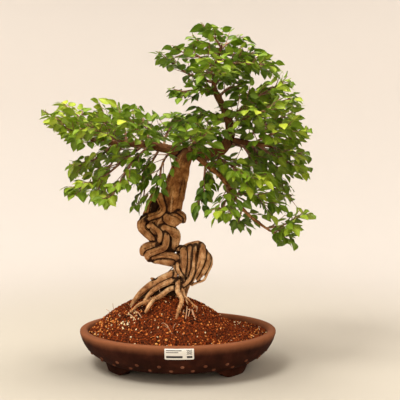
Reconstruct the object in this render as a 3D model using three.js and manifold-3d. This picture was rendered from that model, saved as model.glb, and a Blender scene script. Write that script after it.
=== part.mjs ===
// Korean hornbeam bonsai: a leafy tree on a knot of grown-together strands and exposed roots,
// planted in a mound of granular soil in an unglazed oval pot with four bracket feet.
// Millimetres, +Z up, front of the tree facing -Y, origin on the floor under the middle of the
// whole plant's box. Everything is modelled about the middle of the pot and moved there at the end.
import * as THREE from "three";
import { mergeVertices } from "three/addons/utils/BufferGeometryUtils.js";
import Module from "manifold-3d";

const wasm = await Module();
wasm.setup();

// Pot
const POT_HALF_LENGTH = 175.6;
const POT_DEPTH_RATIO = 0.77;
const POT_SIDES = 32;
const POT_YAW = THREE.MathUtils.degToRad(-3);
const BASE_HEIGHT = 14;
const FLOOR_TOP = 22;
const FOOT = { reach: 133.4, thickness: 22, halfSpan: 0.058, block: 0.36, taper: 2.5 };
const FOOT_PLACES = [0.092, 0.408];
const STUDS_PER_ROW = 24;
const STUD_ROWS = [{ level: 32, shift: 0.5 }, { level: 23, shift: 0 }];
const STUD = { radius: 3.5, proud: 2.2, sunk: 1.8, sides: 5 };
const DRAIN = { radius: 11, offset: 58, screen: 32, hole: 6, pitch: 8 };
const LABEL = { width: 46, centre: 14.6, thickness: 0.6, corner: 1.8, rows: [45.8, 58, 63] };

// Soil mound
const SOIL_EDGE_HEIGHT = 58.5;
const SOIL_RISE = 64;
const SOIL_GRAIN = 1.4;
const SOIL_RINGS = [140, 116, 90, 62, 34];
const MOUND_CENTRE = { x: -30, y: 8 };
const MOUND_REACH = { left: 130, right: 134, depth: 132 };

// Leaves
const LEAF_LENGTH = [22, 30];
const LEAF_WIDTH_RATIO = 0.57;
const LEAF_THICKNESS = 0.7;
const LEAF_ARCH = 0.07;
const LEAF_SPACING = 18;
const LEAF_CLEARANCE = 2.4;
const LEAF_ATTEMPTS = 12;
const BARE_STEM = 0.3;
const LEAF_HABIT = { turn: 1.05, spread: 0.3, outward: 0.25, droop: [0.2, 0.95], roll: 0.85 };
const CROWN_AXIS = { x: 30, y: 0 };

// Clearance that two touching pieces keep
const FIT_GAP = 0.35;

// The point that the front view is seen from. Routes below are drawn as they look from here on
// the upright plane through the pot's middle, with their depth beside them.
const EYE = { x: 40, y: -956, z: 296 };

const MATERIALS = {
  clay: new THREE.MeshStandardMaterial({ color: 0x6b3a2b, roughness: 0.8, metalness: 0 }),
  soil: new THREE.MeshStandardMaterial({ color: 0x8a4527, roughness: 1, metalness: 0 }),
  wood: new THREE.MeshStandardMaterial({ color: 0x9a6b43, roughness: 0.85, metalness: 0 }),
  leaf: new THREE.MeshStandardMaterial({ color: 0x6f9a2a, roughness: 0.55, metalness: 0 }),
  screen: new THREE.MeshStandardMaterial({ color: 0x22262a, roughness: 0.6, metalness: 0 }),
  wire: new THREE.MeshStandardMaterial({ color: 0x1b1a19, roughness: 0.5, metalness: 0.6 }),
  label: new THREE.MeshStandardMaterial({ color: 0xf2efe8, roughness: 0.5, metalness: 0 }),
};

// Every random draw of the foliage comes from this one seeded stream.
const STREAM = { multiplier: 16807, modulus: 2147483647, state: 38 };

function draw(low, high) {
  STREAM.state = (STREAM.state * STREAM.multiplier) % STREAM.modulus;
  return low + ((high - low) * STREAM.state) / STREAM.modulus;
}

// Solids and meshes

function solidOf(geometry) {
  const bare = geometry.clone();
  bare.deleteAttribute("normal");
  bare.deleteAttribute("uv");
  const merged = mergeVertices(bare, 1e-4);
  const corners = merged.index.array;
  const triVerts = [];
  for (let i = 0; i < corners.length; i += 3) {
    const [a, b, c] = [corners[i], corners[i + 1], corners[i + 2]];
    if (a !== b && b !== c && c !== a) triVerts.push(a, b, c);
  }
  return new wasm.Manifold(
    new wasm.Mesh({
      numProp: 3,
      vertProperties: new Float32Array(merged.attributes.position.array),
      triVerts: new Uint32Array(triVerts),
    }),
  );
}

function geometryOf(solid) {
  const mesh = solid.getMesh();
  const geometry = new THREE.BufferGeometry();
  geometry.setAttribute("position", new THREE.BufferAttribute(mesh.vertProperties, 3));
  geometry.setIndex(new THREE.BufferAttribute(mesh.triVerts, 1));
  geometry.computeVertexNormals();
  return geometry;
}

// The largest body of a solid, with the hollows that joining has sealed filled in.
function mainBody(solid) {
  const bodies = solid.decompose();
  return bodies.reduce((best, body) => (body.volume() > best.volume() ? body : best));
}

function joined(solids) {
  return solids.reduce((all, solid) => all.add(solid));
}

function namedMesh(name, solid, material) {
  const mesh = new THREE.Mesh(geometryOf(solid), material);
  mesh.name = name;
  return mesh;
}

// Moves every vertex of a geometry by a rule that takes and returns a Vector3.
function bent(geometry, rule) {
  const positions = geometry.attributes.position;
  for (let i = 0; i < positions.count; i += 1) {
    const moved = rule(new THREE.Vector3().fromBufferAttribute(positions, i));
    positions.setXYZ(i, moved.x, moved.y, moved.z);
  }
  return geometry;
}

// Limbs: strands, roots, branches and twigs

// A point drawn on the front view at (across, up), moved along the line of sight to its depth.
function seen(across, up, depth) {
  const reach = (depth - EYE.y) / -EYE.y;
  return new THREE.Vector3(EYE.x + (across - EYE.x) * reach, depth, EYE.z + (up - EYE.z) * reach);
}

// A limb is a curve with a radius at each of its points: [across, up, depth, radius].
function makeLimb(route) {
  const points = route.map(([across, up, depth]) => seen(across, up, depth));
  return { curve: new THREE.CatmullRomCurve3(points), radii: route.map((point) => point[3]) };
}

function limbRadius(limb, part) {
  const place = limb.curve.getUtoTmapping(part) * (limb.radii.length - 1);
  const index = Math.min(Math.floor(place), limb.radii.length - 2);
  return THREE.MathUtils.lerp(limb.radii[index], limb.radii[index + 1], place - index);
}

function limbSolid(limb, sides, steps, extra = 0) {
  const frames = limb.curve.computeFrenetFrames(steps, false);
  const tube = new THREE.CylinderGeometry(1, 1, 1, sides, steps);
  const along = (vertex) => {
    const part = vertex.y + 0.5;
    const step = Math.round(part * steps);
    const radius = limbRadius(limb, part) + extra;
    return limb.curve
      .getPointAt(part)
      .addScaledVector(frames.normals[step], vertex.x * radius)
      .addScaledVector(frames.binormals[step], -vertex.z * radius);
  };
  return solidOf(bent(tube, along));
}

function limbSteps(limb, spacing) {
  return Math.max(2, Math.round(limb.curve.getLength() / spacing));
}

// The knot, the trunk, the roots and the main branches, which have grown into one piece.

const KNOT_STRANDS = [
  [
    [-34, 306, -8, 8], [-29, 292, -12, 7], [-25, 281, -13, 6.5],
    [-30, 272, -12, 6.5], [-46, 266, -6, 6.5], [-65, 262, 0, 7],
  ],
  [[-42, 306, 2, 6], [-51, 292, 5, 5.5], [-54, 280, 5, 5.5], [-60, 267, 3, 6]],
  [[-14, 282, -8, 7], [0, 273, -10, 6.5], [10, 266, -8, 6], [8, 256, -4, 6]],
  [[-24, 271, -2, 12], [-14, 264, -6, 15], [-5, 260, -6, 16], [0, 257, -4, 11]],
  [
    [-58, 264, -2, 7.5], [-66, 256, -2, 7.5], [-66, 246, -3, 7.5],
    [-57, 235, -5, 7], [-46, 225, -6, 6.5], [-40, 218, -5, 6],
  ],
  [
    [-54, 247, -8, 4], [-50, 251, -10, 4.5], [-38, 243, -12, 5],
    [-32, 234, -13, 5], [-34, 222, -12, 5], [-38, 212, -9, 4.5],
  ],
  [
    [-40, 251, -4, 7], [-28, 247, -7, 8], [-13, 242, -8, 9.5],
    [-4, 235, -7, 9], [-3, 225, -4, 8], [-7, 211, 0, 7],
  ],
  [
    [-34, 229, -6, 6.5], [-37, 218, -8, 7], [-52, 213, -6, 8],
    [-62, 208, -3, 7.5], [-62, 197, 0, 6.5],
  ],
  [
    [-22, 238, -8, 6], [-21, 222, -13, 6], [-24, 211, -15, 6],
    [-42, 203, -12, 6.5], [-54, 197, -8, 7], [-50, 186, -3, 6],
  ],
  [
    [-50, 189, -4, 6], [-38, 195, -8, 5.5], [-22, 197, -10, 5.5],
    [-5, 194, -10, 5.5], [3, 186, -9, 5],
  ],
  [[-47, 187, -1, 6], [-28, 187, -3, 7.5], [-12, 186, -3, 7.5], [2, 183, -2, 7]],
  [[-44, 189, 6, 7], [-26, 186, 8, 8.5], [-8, 183, 8, 9], [8, 182, 6, 9]],
  [[-30, 212, 8, 9], [-14, 210, 9, 7], [-2, 208, 4, 7], [10, 207, -1, 8]],
  [
    [-12, 290, 2, 16], [-22, 270, 4, 18], [-34, 251, 5, 19],
    [-30, 228, 4, 14], [-38, 206, 5, 13], [-40, 192, 5, 10],
  ],
];

const FIST_STRANDS = [
  [
    [2, 205, -2, 7], [14, 208, -5, 8], [28, 212, -6, 8.5],
    [40, 213, -5, 9], [46, 203, -4, 7.5], [47, 190, -3, 6],
  ],
  [
    [10, 207, -11, 6.5], [11, 195, -14, 6.5], [11, 178, -13, 6.2],
    [11, 162, -9, 5.6], [8, 148, -5, 5],
  ],
  [[22, 210, -11, 6], [23, 196, -14, 5.5], [20, 176, -12, 5], [15, 160, -8, 5]],
  [
    [32, 212, -11, 5.2], [27, 198, -14, 5], [27, 182, -14, 4.8],
    [27, 165, -12, 4.8], [20, 149, -10, 4.8], [6, 138, -10, 4.5],
  ],
  [
    [43, 214, -9, 6.5], [45, 200, -12, 6.5], [42, 184, -12, 6.4],
    [34, 166, -9, 6], [25, 152, -7, 5.6], [12, 141, -6, 5],
  ],
  [[49, 206, -4, 5], [55, 192, -5, 5], [52, 178, -6, 5.2], [44, 163, -6, 4.6], [35, 152, -4, 4]],
  [
    [50, 206, -2, 2.6], [60, 194, -2, 2.4], [61, 180, -3, 2.4], [53, 163, -4, 2.4],
    [47, 151, -6, 2.4], [36, 147, -5, 2.4], [24, 142, -3, 3],
  ],
  [
    [3, 188, -9, 4], [-1, 177, -12, 3.8], [1, 167, -14, 3.6],
    [9, 158, -12, 3.6], [10, 148, -8, 3.6],
  ],
  [[-3, 182, -5, 4.6], [-4, 168, -8, 4.6], [-5, 154, -9, 4.4], [-10, 146, -8, 4.2]],
  [[14, 206, 8, 8], [18, 190, 14, 7.5], [16, 165, 15, 6.5], [8, 138, 14, 6.5], [2, 112, 17, 6]],
  [[34, 207, 6, 8], [38, 190, 12, 7], [29, 165, 15, 6], [16, 140, 18, 5.5], [8, 108, 26, 4.5]],
  [[6, 200, 1, 10], [10, 178, 2, 11], [9, 155, 2, 10], [4, 130, 3, 9], [2, 106, 4, 8]],
];

// Old wood in the shade behind the strands, which fills the knot and the space between the roots.
const HEART_STRANDS = [
  [[-26, 300, 6, 8], [-40, 290, 8, 9], [-44, 276, 8, 9], [-54, 254, 10, 9], [-42, 232, 10, 8]],
  [[-6, 244, 6, 8], [-14, 228, 6, 10], [-14, 206, 6, 10], [-20, 190, 8, 8]],
  [[-2, 152, 6, 9], [-24, 140, 10, 9.5], [-44, 131, 8, 9], [-60, 121, 4, 7.5], [-76, 104, 0, 4]],
  [[2, 136, 4, 9], [-16, 128, 6, 9], [-36, 120, 4, 7], [-52, 106, 0, 5]],
];

const ROOTS = [
  [
    [0, 168, -4, 6], [-12, 162, -5, 6.6], [-32, 152, -8, 6.5], [-52, 141, -13, 5.8],
    [-70, 125, -18, 5], [-80, 111, -17, 4.2], [-90, 92, -16, 3],
  ],
  [[-36, 151, -9, 3], [-49, 154, -13, 2.4]],
  [
    [-4, 153, -8, 5], [-20, 146, -14, 4.6], [-38, 137, -20, 4.6],
    [-54, 122, -24, 4], [-66, 102, -28, 2.8],
  ],
  [
    [6, 138, -10, 4.4], [-14, 135, -18, 4.3], [-32, 122, -26, 4.2],
    [-50, 114, -36, 3.8], [-70, 107, -44, 2.8], [-86, 92, -48, 1.8],
  ],
  [[-40, 118, -37, 2.8], [-45, 114, -47, 3.2], [-52, 105, -59, 3.4], [-59, 92, -69, 2.4]],
  [[1, 150, -8, 4.6], [-1, 132, -22, 4.5], [7, 116, -38, 4], [2, 98, -54, 3.5], [-6, 72, -74, 2.2]],
  [[7, 126, -24, 1.6], [19, 116, -34, 1.4], [34, 100, -46, 1.3]],
  [[5, 144, -8, 3.8], [8, 132, -15, 3.2], [13, 120, -20, 2.2], [18, 106, -24, 1.6]],
  [[-8, 150, 8, 5.6], [-30, 140, 20, 5.4], [-54, 124, 32, 4.6], [-78, 104, 42, 3.4]],
  [[4, 136, 14, 5], [8, 118, 32, 4.4], [18, 100, 50, 3.6], [30, 76, 66, 2.6]],
  [[2, 130, 12, 5.5], [-6, 122, 34, 5], [-14, 110, 56, 4]],
];

const TRUNK_ROUTE = [
  [-13, 262, 0, 13], [-11, 282, -2, 17.5], [-8, 302, -2, 20], [-4, 322, -2, 20], [2, 342, -2, 18],
  [8, 364, -2, 15.5], [16, 380, -3, 14.5], [36, 382, -5, 13], [56, 379, -6, 12.2], [74, 384, -6, 11.2],
  [90, 402, -7, 9.8], [95, 424, -8, 8.4], [89, 448, -10, 7], [78, 472, -12, 6.2], [66, 498, -14, 5.2],
  [69, 526, -16, 4.4], [73, 556, -18, 3.4], [79, 576, -19, 2.6],
];

const BRANCHES = {
  left: [
    [6, 382, -3, 10], [-14, 387, -5, 8.8], [-44, 393, -8, 7.4],
    [-84, 398, -8, 6.4], [-122, 401, -6, 5.2], [-157, 404, -4, 3.2],
  ],
  right: [[90, 406, -7, 6], [112, 402, -14, 5.2], [140, 397, -21, 4.2], [172, 394, -28, 3]],
  downward: [
    [26, 384, -6, 6], [50, 361, -20, 4.8], [72, 344, -29, 4.3], [88, 325, -35, 4], [103, 300, -41, 3.6],
    [122, 275, -45, 3.1], [146, 255, -48, 2.6], [168, 239, -50, 2],
  ],
};

// Every limb with the number of sides that its tube has and the length of one section of it.
function woodLimbs() {
  const strands = [...KNOT_STRANDS, ...FIST_STRANDS].map((route) => {
    const sides = route[0][3] > 5.5 ? 6 : 5;
    return { limb: makeLimb(route), sides, spacing: 17 };
  });
  const heart = HEART_STRANDS.map((route) => ({ limb: makeLimb(route), sides: 4, spacing: 44 }));
  const roots = ROOTS.map((route) => ({ limb: makeLimb(route), sides: 5, spacing: 26 }));
  const branches = Object.values(BRANCHES).map((route) => {
    return { limb: makeLimb(route), sides: 5, spacing: 26 };
  });
  const trunk = { limb: makeLimb(TRUNK_ROUTE), sides: 8, spacing: 20 };
  return [trunk, ...strands, ...roots, ...branches, ...heart];
}

function woodSolid(limbs, extra = 0) {
  const tube = ({ limb, sides, spacing }) => limbSolid(limb, sides, limbSteps(limb, spacing), extra);
  return mainBody(joined(limbs.map(tube)));
}

// Sprays: leafy stems that leave the trunk and the main branches

const SPRAY_ROUTES = [
  // upper left tier
  [[-119, 402, -6, 2.6], [-124, 424, 0, 2], [-135, 454, 8, 1.2]],
  [[-150, 404, -4, 2.6], [-184, 422, -12, 2], [-226, 446, -18, 1.2]],
  [[-140, 402, -5, 2.4], [-168, 412, -30, 1.9], [-202, 426, -56, 1.2]],
  [[-104, 400, -8, 2.6], [-120, 410, -44, 2], [-152, 426, -84, 1.2]],
  [[-62, 396, -8, 2.6], [-66, 412, -40, 2], [-80, 434, -80, 1.2]],
  [[-84, 398, -6, 2.6], [-104, 416, 30, 2], [-138, 436, 74, 1.2]],
  [[-136, 402, -4, 2.4], [-160, 430, 22, 1.9], [-190, 456, 48, 1.2]],
  [[-92, 400, -8, 2.6], [-97, 424, -6, 2], [-103, 450, 2, 1.2]],
  [[-26, 390, -6, 2.6], [-22, 412, 10, 2], [-12, 434, 32, 1.2]],
  // lower left tier
  [[-62, 396, -8, 2.8], [-100, 366, -28, 2.2], [-138, 336, -42, 1.7], [-178, 318, -50, 1.1]],
  [[-112, 401, -6, 2.4], [-138, 378, 4, 1.9], [-174, 358, 16, 1.2]],
  [[-98, 399, -6, 2.6], [-118, 366, 32, 2], [-142, 318, 60, 1.2]],
  [[-32, 391, -7, 2.4], [-50, 358, -20, 2], [-59, 326, -28, 1.6], [-62, 300, -33, 1.2]],
  [[-52, 394, -8, 2.6], [-84, 362, -48, 2], [-118, 306, -74, 1.2]],
  // crown
  [[70, 488, -13, 2.8], [42, 495, -22, 2.2], [4, 492, -34, 1.2]],
  [[67, 508, -14, 2.8], [28, 520, -4, 2.2], [-28, 556, 8, 1.2]],
  [[70, 536, -17, 2.4], [46, 552, -30, 1.9], [8, 564, -46, 1.2]],
  [[69, 530, -16, 2.8], [100, 543, -28, 2.2], [146, 541, -42, 1.2]],
  [[72, 552, -17, 2.4], [94, 560, -8, 1.9], [120, 558, 8, 1.2]],
  [[74, 484, -12, 2.8], [100, 501, 4, 2.3], [134, 483, 20, 1.8], [170, 494, 28, 1.2]],
  [[66, 502, -14, 2.8], [76, 515, 28, 2.1], [98, 530, 72, 1.2]],
  [[67, 516, -15, 2.8], [60, 524, -50, 2.1], [64, 534, -88, 1.2]],
  [[78, 572, -19, 1.9], [68, 588, -24, 1.6], [52, 602, -26, 1.1]],
  [[76, 566, -18, 2], [88, 578, -8, 1.6], [102, 584, 4, 1.1]],
  [[72, 548, -18, 2.4], [102, 548, 20, 1.9], [146, 536, 54, 1.2]],
  [[92, 440, -10, 2.8], [130, 474, -28, 2.1], [184, 506, -44, 1.2]],
  // right tier
  [[160, 395, -26, 2.6], [188, 402, -34, 1.9], [214, 414, -42, 1.2]],
  [[136, 398, -20, 2.6], [158, 410, -54, 2], [192, 424, -88, 1.2]],
  [[120, 401, -17, 2.6], [148, 426, -8, 2], [190, 446, 6, 1.2]],
  [[92, 400, -6, 2.8], [126, 391, 32, 2.1], [180, 384, 72, 1.2]],
  [[142, 397, -23, 2.5], [178, 374, -20, 1.9], [216, 354, -16, 1.2]],
  [[112, 402, -14, 2.6], [142, 362, -4, 2.1], [172, 318, 4, 1.2]],
  [[94, 426, -8, 2.8], [116, 442, -44, 2.1], [156, 458, -86, 1.2]],
  [[92, 444, -10, 2.8], [118, 458, 28, 2.1], [162, 468, 68, 1.2]],
  [[60, 379, -6, 2.8], [88, 364, -44, 2.1], [128, 337, -82, 1.2]],
  [[46, 380, -5, 2.8], [74, 358, 34, 2.1], [122, 326, 76, 1.2]],
  // middle
  [[20, 383, -5, 2.8], [24, 396, -46, 2.1], [42, 408, -88, 1.2]],
  [[36, 382, -5, 2.8], [28, 402, 32, 2.1], [10, 426, 78, 1.2]],
  [[88, 450, -10, 2.6], [58, 450, -20, 2], [16, 440, -34, 1.2]],
  // lower right tier
  [[50, 361, -20, 2.4], [47, 332, -26, 1.9], [38, 298, -35, 1.2]],
  [[88, 325, -35, 2.4], [90, 304, -56, 1.8], [80, 282, -76, 1.2]],
  [[116, 282, -44, 2.2], [114, 272, -30, 1.7], [111, 260, -16, 1.1]],
  [[164, 242, -50, 1.9], [176, 236, -53, 1.6], [190, 230, -56, 1.1]],
  [[160, 245, -50, 1.8], [188, 250, -57, 1.5], [214, 262, -62, 1.1]],
  [[98, 309, -40, 2.4], [132, 304, -50, 1.8], [160, 290, -60, 1.2]],
  // more of all tiers
  [[-52, 394, -8, 2.6], [-56, 420, 8, 2], [-66, 446, 18, 1.2]],
  [[-12, 387, -5, 2.4], [-28, 362, -34, 2], [-36, 322, -50, 1.2]],
  [[73, 556, -18, 2.2], [58, 572, -6, 1.7], [38, 582, 8, 1.1]],
  [[95, 430, -8, 2.6], [150, 462, 10, 2], [198, 478, 24, 1.2]],
  [[92, 410, -8, 2.6], [76, 418, -40, 2], [48, 424, -66, 1.2]],
  [[130, 399, -19, 2.4], [168, 352, 30, 1.9], [196, 308, 44, 1.2]],
  [[153, 396, -25, 2.2], [186, 388, 10, 1.8], [218, 380, 24, 1.2]],
];

// The crown's outline as it looks from the front, from its left tip clockwise: [across, up].
const CROWN_OUTLINE = [
  // top of the left tier
  [-257, 443], [-228, 472], [-200, 484], [-130, 482], [-92, 478], [-66, 470], [-20, 455],
  // left side and top of the crown
  [8, 462], [-30, 483], [-24, 500], [16, 514], [10, 530], [-24, 532], [-60, 544], [-54, 564],
  [8, 582], [22, 604], [44, 619], [112, 609],
  // right side down to the right tier
  [136, 582], [194, 551], [202, 514], [224, 502], [236, 460], [229, 432], [252, 420], [250, 405],
  [226, 396], [242, 377], [240, 362], [250, 346], [238, 326], [214, 321], [204, 281], [190, 263],
  // lower right tier
  [206, 276], [252, 278], [252, 256], [219, 228], [218, 202], [176, 203], [158, 226], [96, 232],
  [28, 252], [16, 286],
  // lower left tier
  [-8, 284], [-34, 286], [-60, 262], [-84, 264], [-128, 272], [-198, 282], [-220, 312],
  [-212, 338], [-202, 390], [-224, 412],
];

// Places in it where the background shows through: [left, low, right, high].
const CROWN_GAPS = [[-46, 338, -12, 380], [-128, 322, -102, 362], [22, 322, 42, 350], [102, 371, 128, 383]];

const UP = new THREE.Vector3(0, 0, 1);

// Whether a point lies within the outline, and in none of its gaps, as seen from the front.
function withinCrown(point) {
  const reach = -EYE.y / (point.y - EYE.y);
  const across = EYE.x + (point.x - EYE.x) * reach;
  const up = EYE.z + (point.z - EYE.z) * reach;
  const crossings = CROWN_OUTLINE.filter(([startAcross, startUp], i) => {
    const [endAcross, endUp] = CROWN_OUTLINE[(i + 1) % CROWN_OUTLINE.length];
    const share = (up - startUp) / (endUp - startUp);
    return startUp > up !== endUp > up && across < startAcross + share * (endAcross - startAcross);
  });
  const inGap = ([left, low, right, high]) => across > left && across < right && up > low && up < high;
  return crossings.length % 2 === 1 && !CROWN_GAPS.some(inGap);
}

// The places where leaves grow: at the stem's tip, and left and right of it in turn.
function leafSites(stem) {
  const count = Math.round((stem.curve.getLength() * (1 - BARE_STEM)) / LEAF_SPACING);
  const sites = [{ point: stem.curve.getPointAt(0.99), heading: stem.curve.getTangentAt(1), turn: 0 }];
  for (let i = 0; i < count; i += 1) {
    const part = THREE.MathUtils.lerp(BARE_STEM, 0.94, i / count);
    const turn = i % 2 === 0 ? LEAF_HABIT.turn : -LEAF_HABIT.turn;
    sites.push({ point: stem.curve.getPointAt(part), heading: stem.curve.getTangentAt(part), turn });
  }
  return sites;
}

// A leaf as it might hang at a site: it points away from its stem, outward and down.
function leafAt(site) {
  const length = draw(...LEAF_LENGTH);
  const { x, y } = site.point;
  const outward = new THREE.Vector3(x - CROWN_AXIS.x, y - CROWN_AXIS.y, 0).normalize();
  const along = site.heading
    .clone()
    .applyAxisAngle(UP, site.turn + draw(-LEAF_HABIT.spread, LEAF_HABIT.spread))
    .addScaledVector(outward, LEAF_HABIT.outward)
    .addScaledVector(UP, -draw(...LEAF_HABIT.droop))
    .normalize();
  const across = new THREE.Vector3()
    .crossVectors(UP, along)
    .normalize()
    .applyAxisAngle(along, draw(-LEAF_HABIT.roll, LEAF_HABIT.roll));
  const face = new THREE.Vector3().crossVectors(along, across);
  return { root: site.point, along, across, face, length, width: length * LEAF_WIDTH_RATIO };
}

// A blade's outline as shares of its length and width, and the points that stand for the blade
// when its clearance from the others is tested.
const LEAF_OUTLINE = [[0, 0], [0.32, 0.43], [0.64, 0.37], [1, 0], [0.64, -0.37], [0.32, -0.43]];
const LEAF_PROBES = [
  ...LEAF_OUTLINE.slice(1),
  [0.16, 0.22], [0.16, -0.22], [0.3, 0], [0.5, 0], [0.75, 0],
  [0.82, 0.2], [0.82, -0.2], [0.48, 0.42], [0.48, -0.42],
];

function leafPoint(leaf, part, side) {
  return leaf.root
    .clone()
    .addScaledVector(leaf.along, part * leaf.length)
    .addScaledVector(leaf.across, side * leaf.width);
}

// Whether a point lies in or near the flat lens that a leaf fills.
function nearLeaf(leaf, point, margin) {
  const offset = point.clone().sub(leafPoint(leaf, 0.5, 0));
  const along = offset.dot(leaf.along) / (leaf.length / 2 + margin);
  const across = offset.dot(leaf.across) / (leaf.width / 2 + margin);
  return Math.abs(offset.dot(leaf.face)) < margin && along * along + across * across < 1.05;
}

function leafReaches(leaf, other) {
  return LEAF_PROBES.some(([part, side]) => nearLeaf(leaf, leafPoint(other, part, side), LEAF_CLEARANCE));
}

function leavesMeet(first, second) {
  const close = first.root.distanceTo(second.root) < 2 * LEAF_LENGTH[1];
  return close && (leafReaches(first, second) || leafReaches(second, first));
}

function leafMeetsLimb(leaf, beads) {
  return beads.some(({ centre, radius }) => nearLeaf(leaf, centre, radius + LEAF_CLEARANCE / 2));
}

// Beads along a limb, close enough together to stand for it in the clearance test.
function limbBeads(limb) {
  const count = Math.ceil(limb.curve.getLength() / 3);
  return Array.from({ length: count + 1 }, (_, i) => ({
    centre: limb.curve.getPointAt(i / count),
    radius: limbRadius(limb, i / count),
  }));
}

function leafFits(leaf, placed, beads) {
  const within = [0.5, 1].every((part) => withinCrown(leafPoint(leaf, part, 0)));
  return within && !placed.some((other) => leavesMeet(leaf, other)) && !leafMeetsLimb(leaf, beads);
}

// A leaf is drawn again, up to the set number of times, while it would leave the crown's outline or
// cross another leaf or a limb.
function growLeaf(site, placed, beads) {
  for (let attempt = 0; attempt < LEAF_ATTEMPTS; attempt += 1) {
    const leaf = leafAt(site);
    if (leafFits(leaf, placed, beads)) return leaf;
  }
  return null;
}

function growSprays(limbs) {
  const sprays = SPRAY_ROUTES.map((route) => {
    const stem = makeLimb(route);
    return { stem, beads: limbBeads(stem), leaves: [] };
  });
  const woodBeads = limbs.flatMap(({ limb }) => limbBeads(limb));
  const placed = [];
  for (const spray of sprays) {
    const others = sprays.filter((other) => other !== spray);
    const beads = [...woodBeads, ...others.flatMap((other) => other.beads)];
    for (const site of leafSites(spray.stem)) {
      const leaf = growLeaf(site, placed, beads);
      if (leaf) {
        placed.push(leaf);
        spray.leaves.push(leaf);
      }
    }
  }
  return sprays;
}

// A blade arched along its length, with the same outline above and below, which meet at its tip.
function leafSolid(leaf) {
  const corners = LEAF_OUTLINE.length;
  const arch = (part) => leaf.length * LEAF_ARCH * (4 * part * (1 - part) - 0.5 * part);
  const skin = (drop) => LEAF_OUTLINE.map(([part, side]) => {
    const height = arch(part) - (part < 1 ? drop : LEAF_THICKNESS / 2);
    return leafPoint(leaf, part, side).addScaledVector(leaf.face, height);
  });
  const upper = [[0, 5, 1], [1, 5, 4], [1, 4, 2], [2, 4, 3]];
  const faces = upper.flatMap(([a, b, c]) => [a, b, c, a + corners, c + corners, b + corners]);
  for (let i = 0; i < corners; i += 1) {
    const next = (i + 1) % corners;
    faces.push(i, next, i + corners, next, next + corners, i + corners);
  }
  const geometry = new THREE.BufferGeometry().setFromPoints([...skin(0), ...skin(LEAF_THICKNESS)]);
  geometry.setIndex(faces);
  return solidOf(geometry);
}

function spraySolid(spray, woodSpace) {
  const stem = limbSolid(spray.stem, 3, limbSteps(spray.stem, 28));
  return mainBody(joined([stem, ...spray.leaves.map(leafSolid)]).subtract(woodSpace));
}

// Pot

// The wall's section, from the middle of the underside round the rim to the middle of the floor.
const POT_PROFILE = [
  [0, BASE_HEIGHT], [134, BASE_HEIGHT], [156, 28], [169, 44], [174.6, 58], [POT_HALF_LENGTH, 63], [172.5, 67],
  [163, 67], [160.5, 60], [153, 42], [132, FLOOR_TOP], [0, FLOOR_TOP],
];
const OUTER_WALL = POT_PROFILE.slice(1, 7);
const INNER_WALL = POT_PROFILE.slice(8, 11).reverse();

// A body turned from a section of [reach, height] points, squeezed to the pot's oval plan.
function ovalGeometry(profile) {
  const lathe = new THREE.LatheGeometry(profile.map((point) => new THREE.Vector2(...point)), POT_SIDES);
  return bent(lathe, ({ x, y, z }) => new THREE.Vector3(x, -z * POT_DEPTH_RATIO, y));
}

function reachAt(wall, height) {
  const index = wall.findIndex(([, level], i) => i > 0 && height <= level);
  const [low, high] = [wall[index - 1], wall[index]];
  return THREE.MathUtils.mapLinear(height, low[1], high[1], low[0], high[0]);
}

// A point on the oval at the given share of the way round.
function onOval(reach, share) {
  return new THREE.EllipseCurve(0, 0, reach, reach * POT_DEPTH_RATIO).getPointAt(share);
}

// A low stud with its foot sunk in the wall, pointing out and a little down.
function studSolid(level, share) {
  const height = STUD.proud + STUD.sunk;
  const { x, y } = onOval(reachAt(OUTER_WALL, level), share);
  const out = new THREE.Vector3(x, y / POT_DEPTH_RATIO ** 2, 0).normalize().setZ(-0.75).normalize();
  const stud = new THREE.ConeGeometry((STUD.radius * height) / STUD.proud, height, STUD.sides);
  stud.translate(0, (STUD.proud - STUD.sunk) / 2, 0);
  stud.applyQuaternion(new THREE.Quaternion().setFromUnitVectors(new THREE.Vector3(0, 1, 0), out));
  return solidOf(stud.translate(x, y, level));
}

function studSolids() {
  const places = Array.from({ length: STUDS_PER_ROW }, (_, i) => i);
  return STUD_ROWS.flatMap(({ level, shift }) => {
    return places.map((i) => studSolid(level, (i + shift) / STUDS_PER_ROW));
  });
}

// A bracket foot follows the pot's edge: a block in its middle with a thin wing each way. Its Y is
// outward and its X runs clockwise, so that its faces stay the right way out.
function footSolid(share) {
  const block = new THREE.BoxGeometry(1, 1, 1, 10, 1, 1);
  const shaped = ({ x, y, z }) => {
    const wing = THREE.MathUtils.smoothstep(Math.abs(x) * 2, FOOT.block, 1);
    const inset = y > 0 ? 0 : FOOT.thickness * (1 - 0.55 * wing);
    const taper = z < 0 && y > 0 ? FOOT.taper : 0;
    const place = onOval(FOOT.reach - inset - taper, share - x * 2 * FOOT.halfSpan);
    return new THREE.Vector3(place.x, place.y, z < 0 ? BASE_HEIGHT * wing * 0.93 : BASE_HEIGHT + 2);
  };
  return solidOf(bent(block, shaped));
}

function potSolid() {
  const feet = FOOT_PLACES.flatMap((share) => [footSolid(share), footSolid(1 - share)]);
  const drains = [-DRAIN.offset, DRAIN.offset].map((x) => {
    const hole = new THREE.CylinderGeometry(DRAIN.radius, DRAIN.radius, 30, 16).rotateX(Math.PI / 2);
    return solidOf(hole.translate(x, 0, BASE_HEIGHT));
  });
  return joined([solidOf(ovalGeometry(POT_PROFILE)), ...feet, ...studSolids()]).subtract(joined(drains));
}

// Soil

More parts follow.
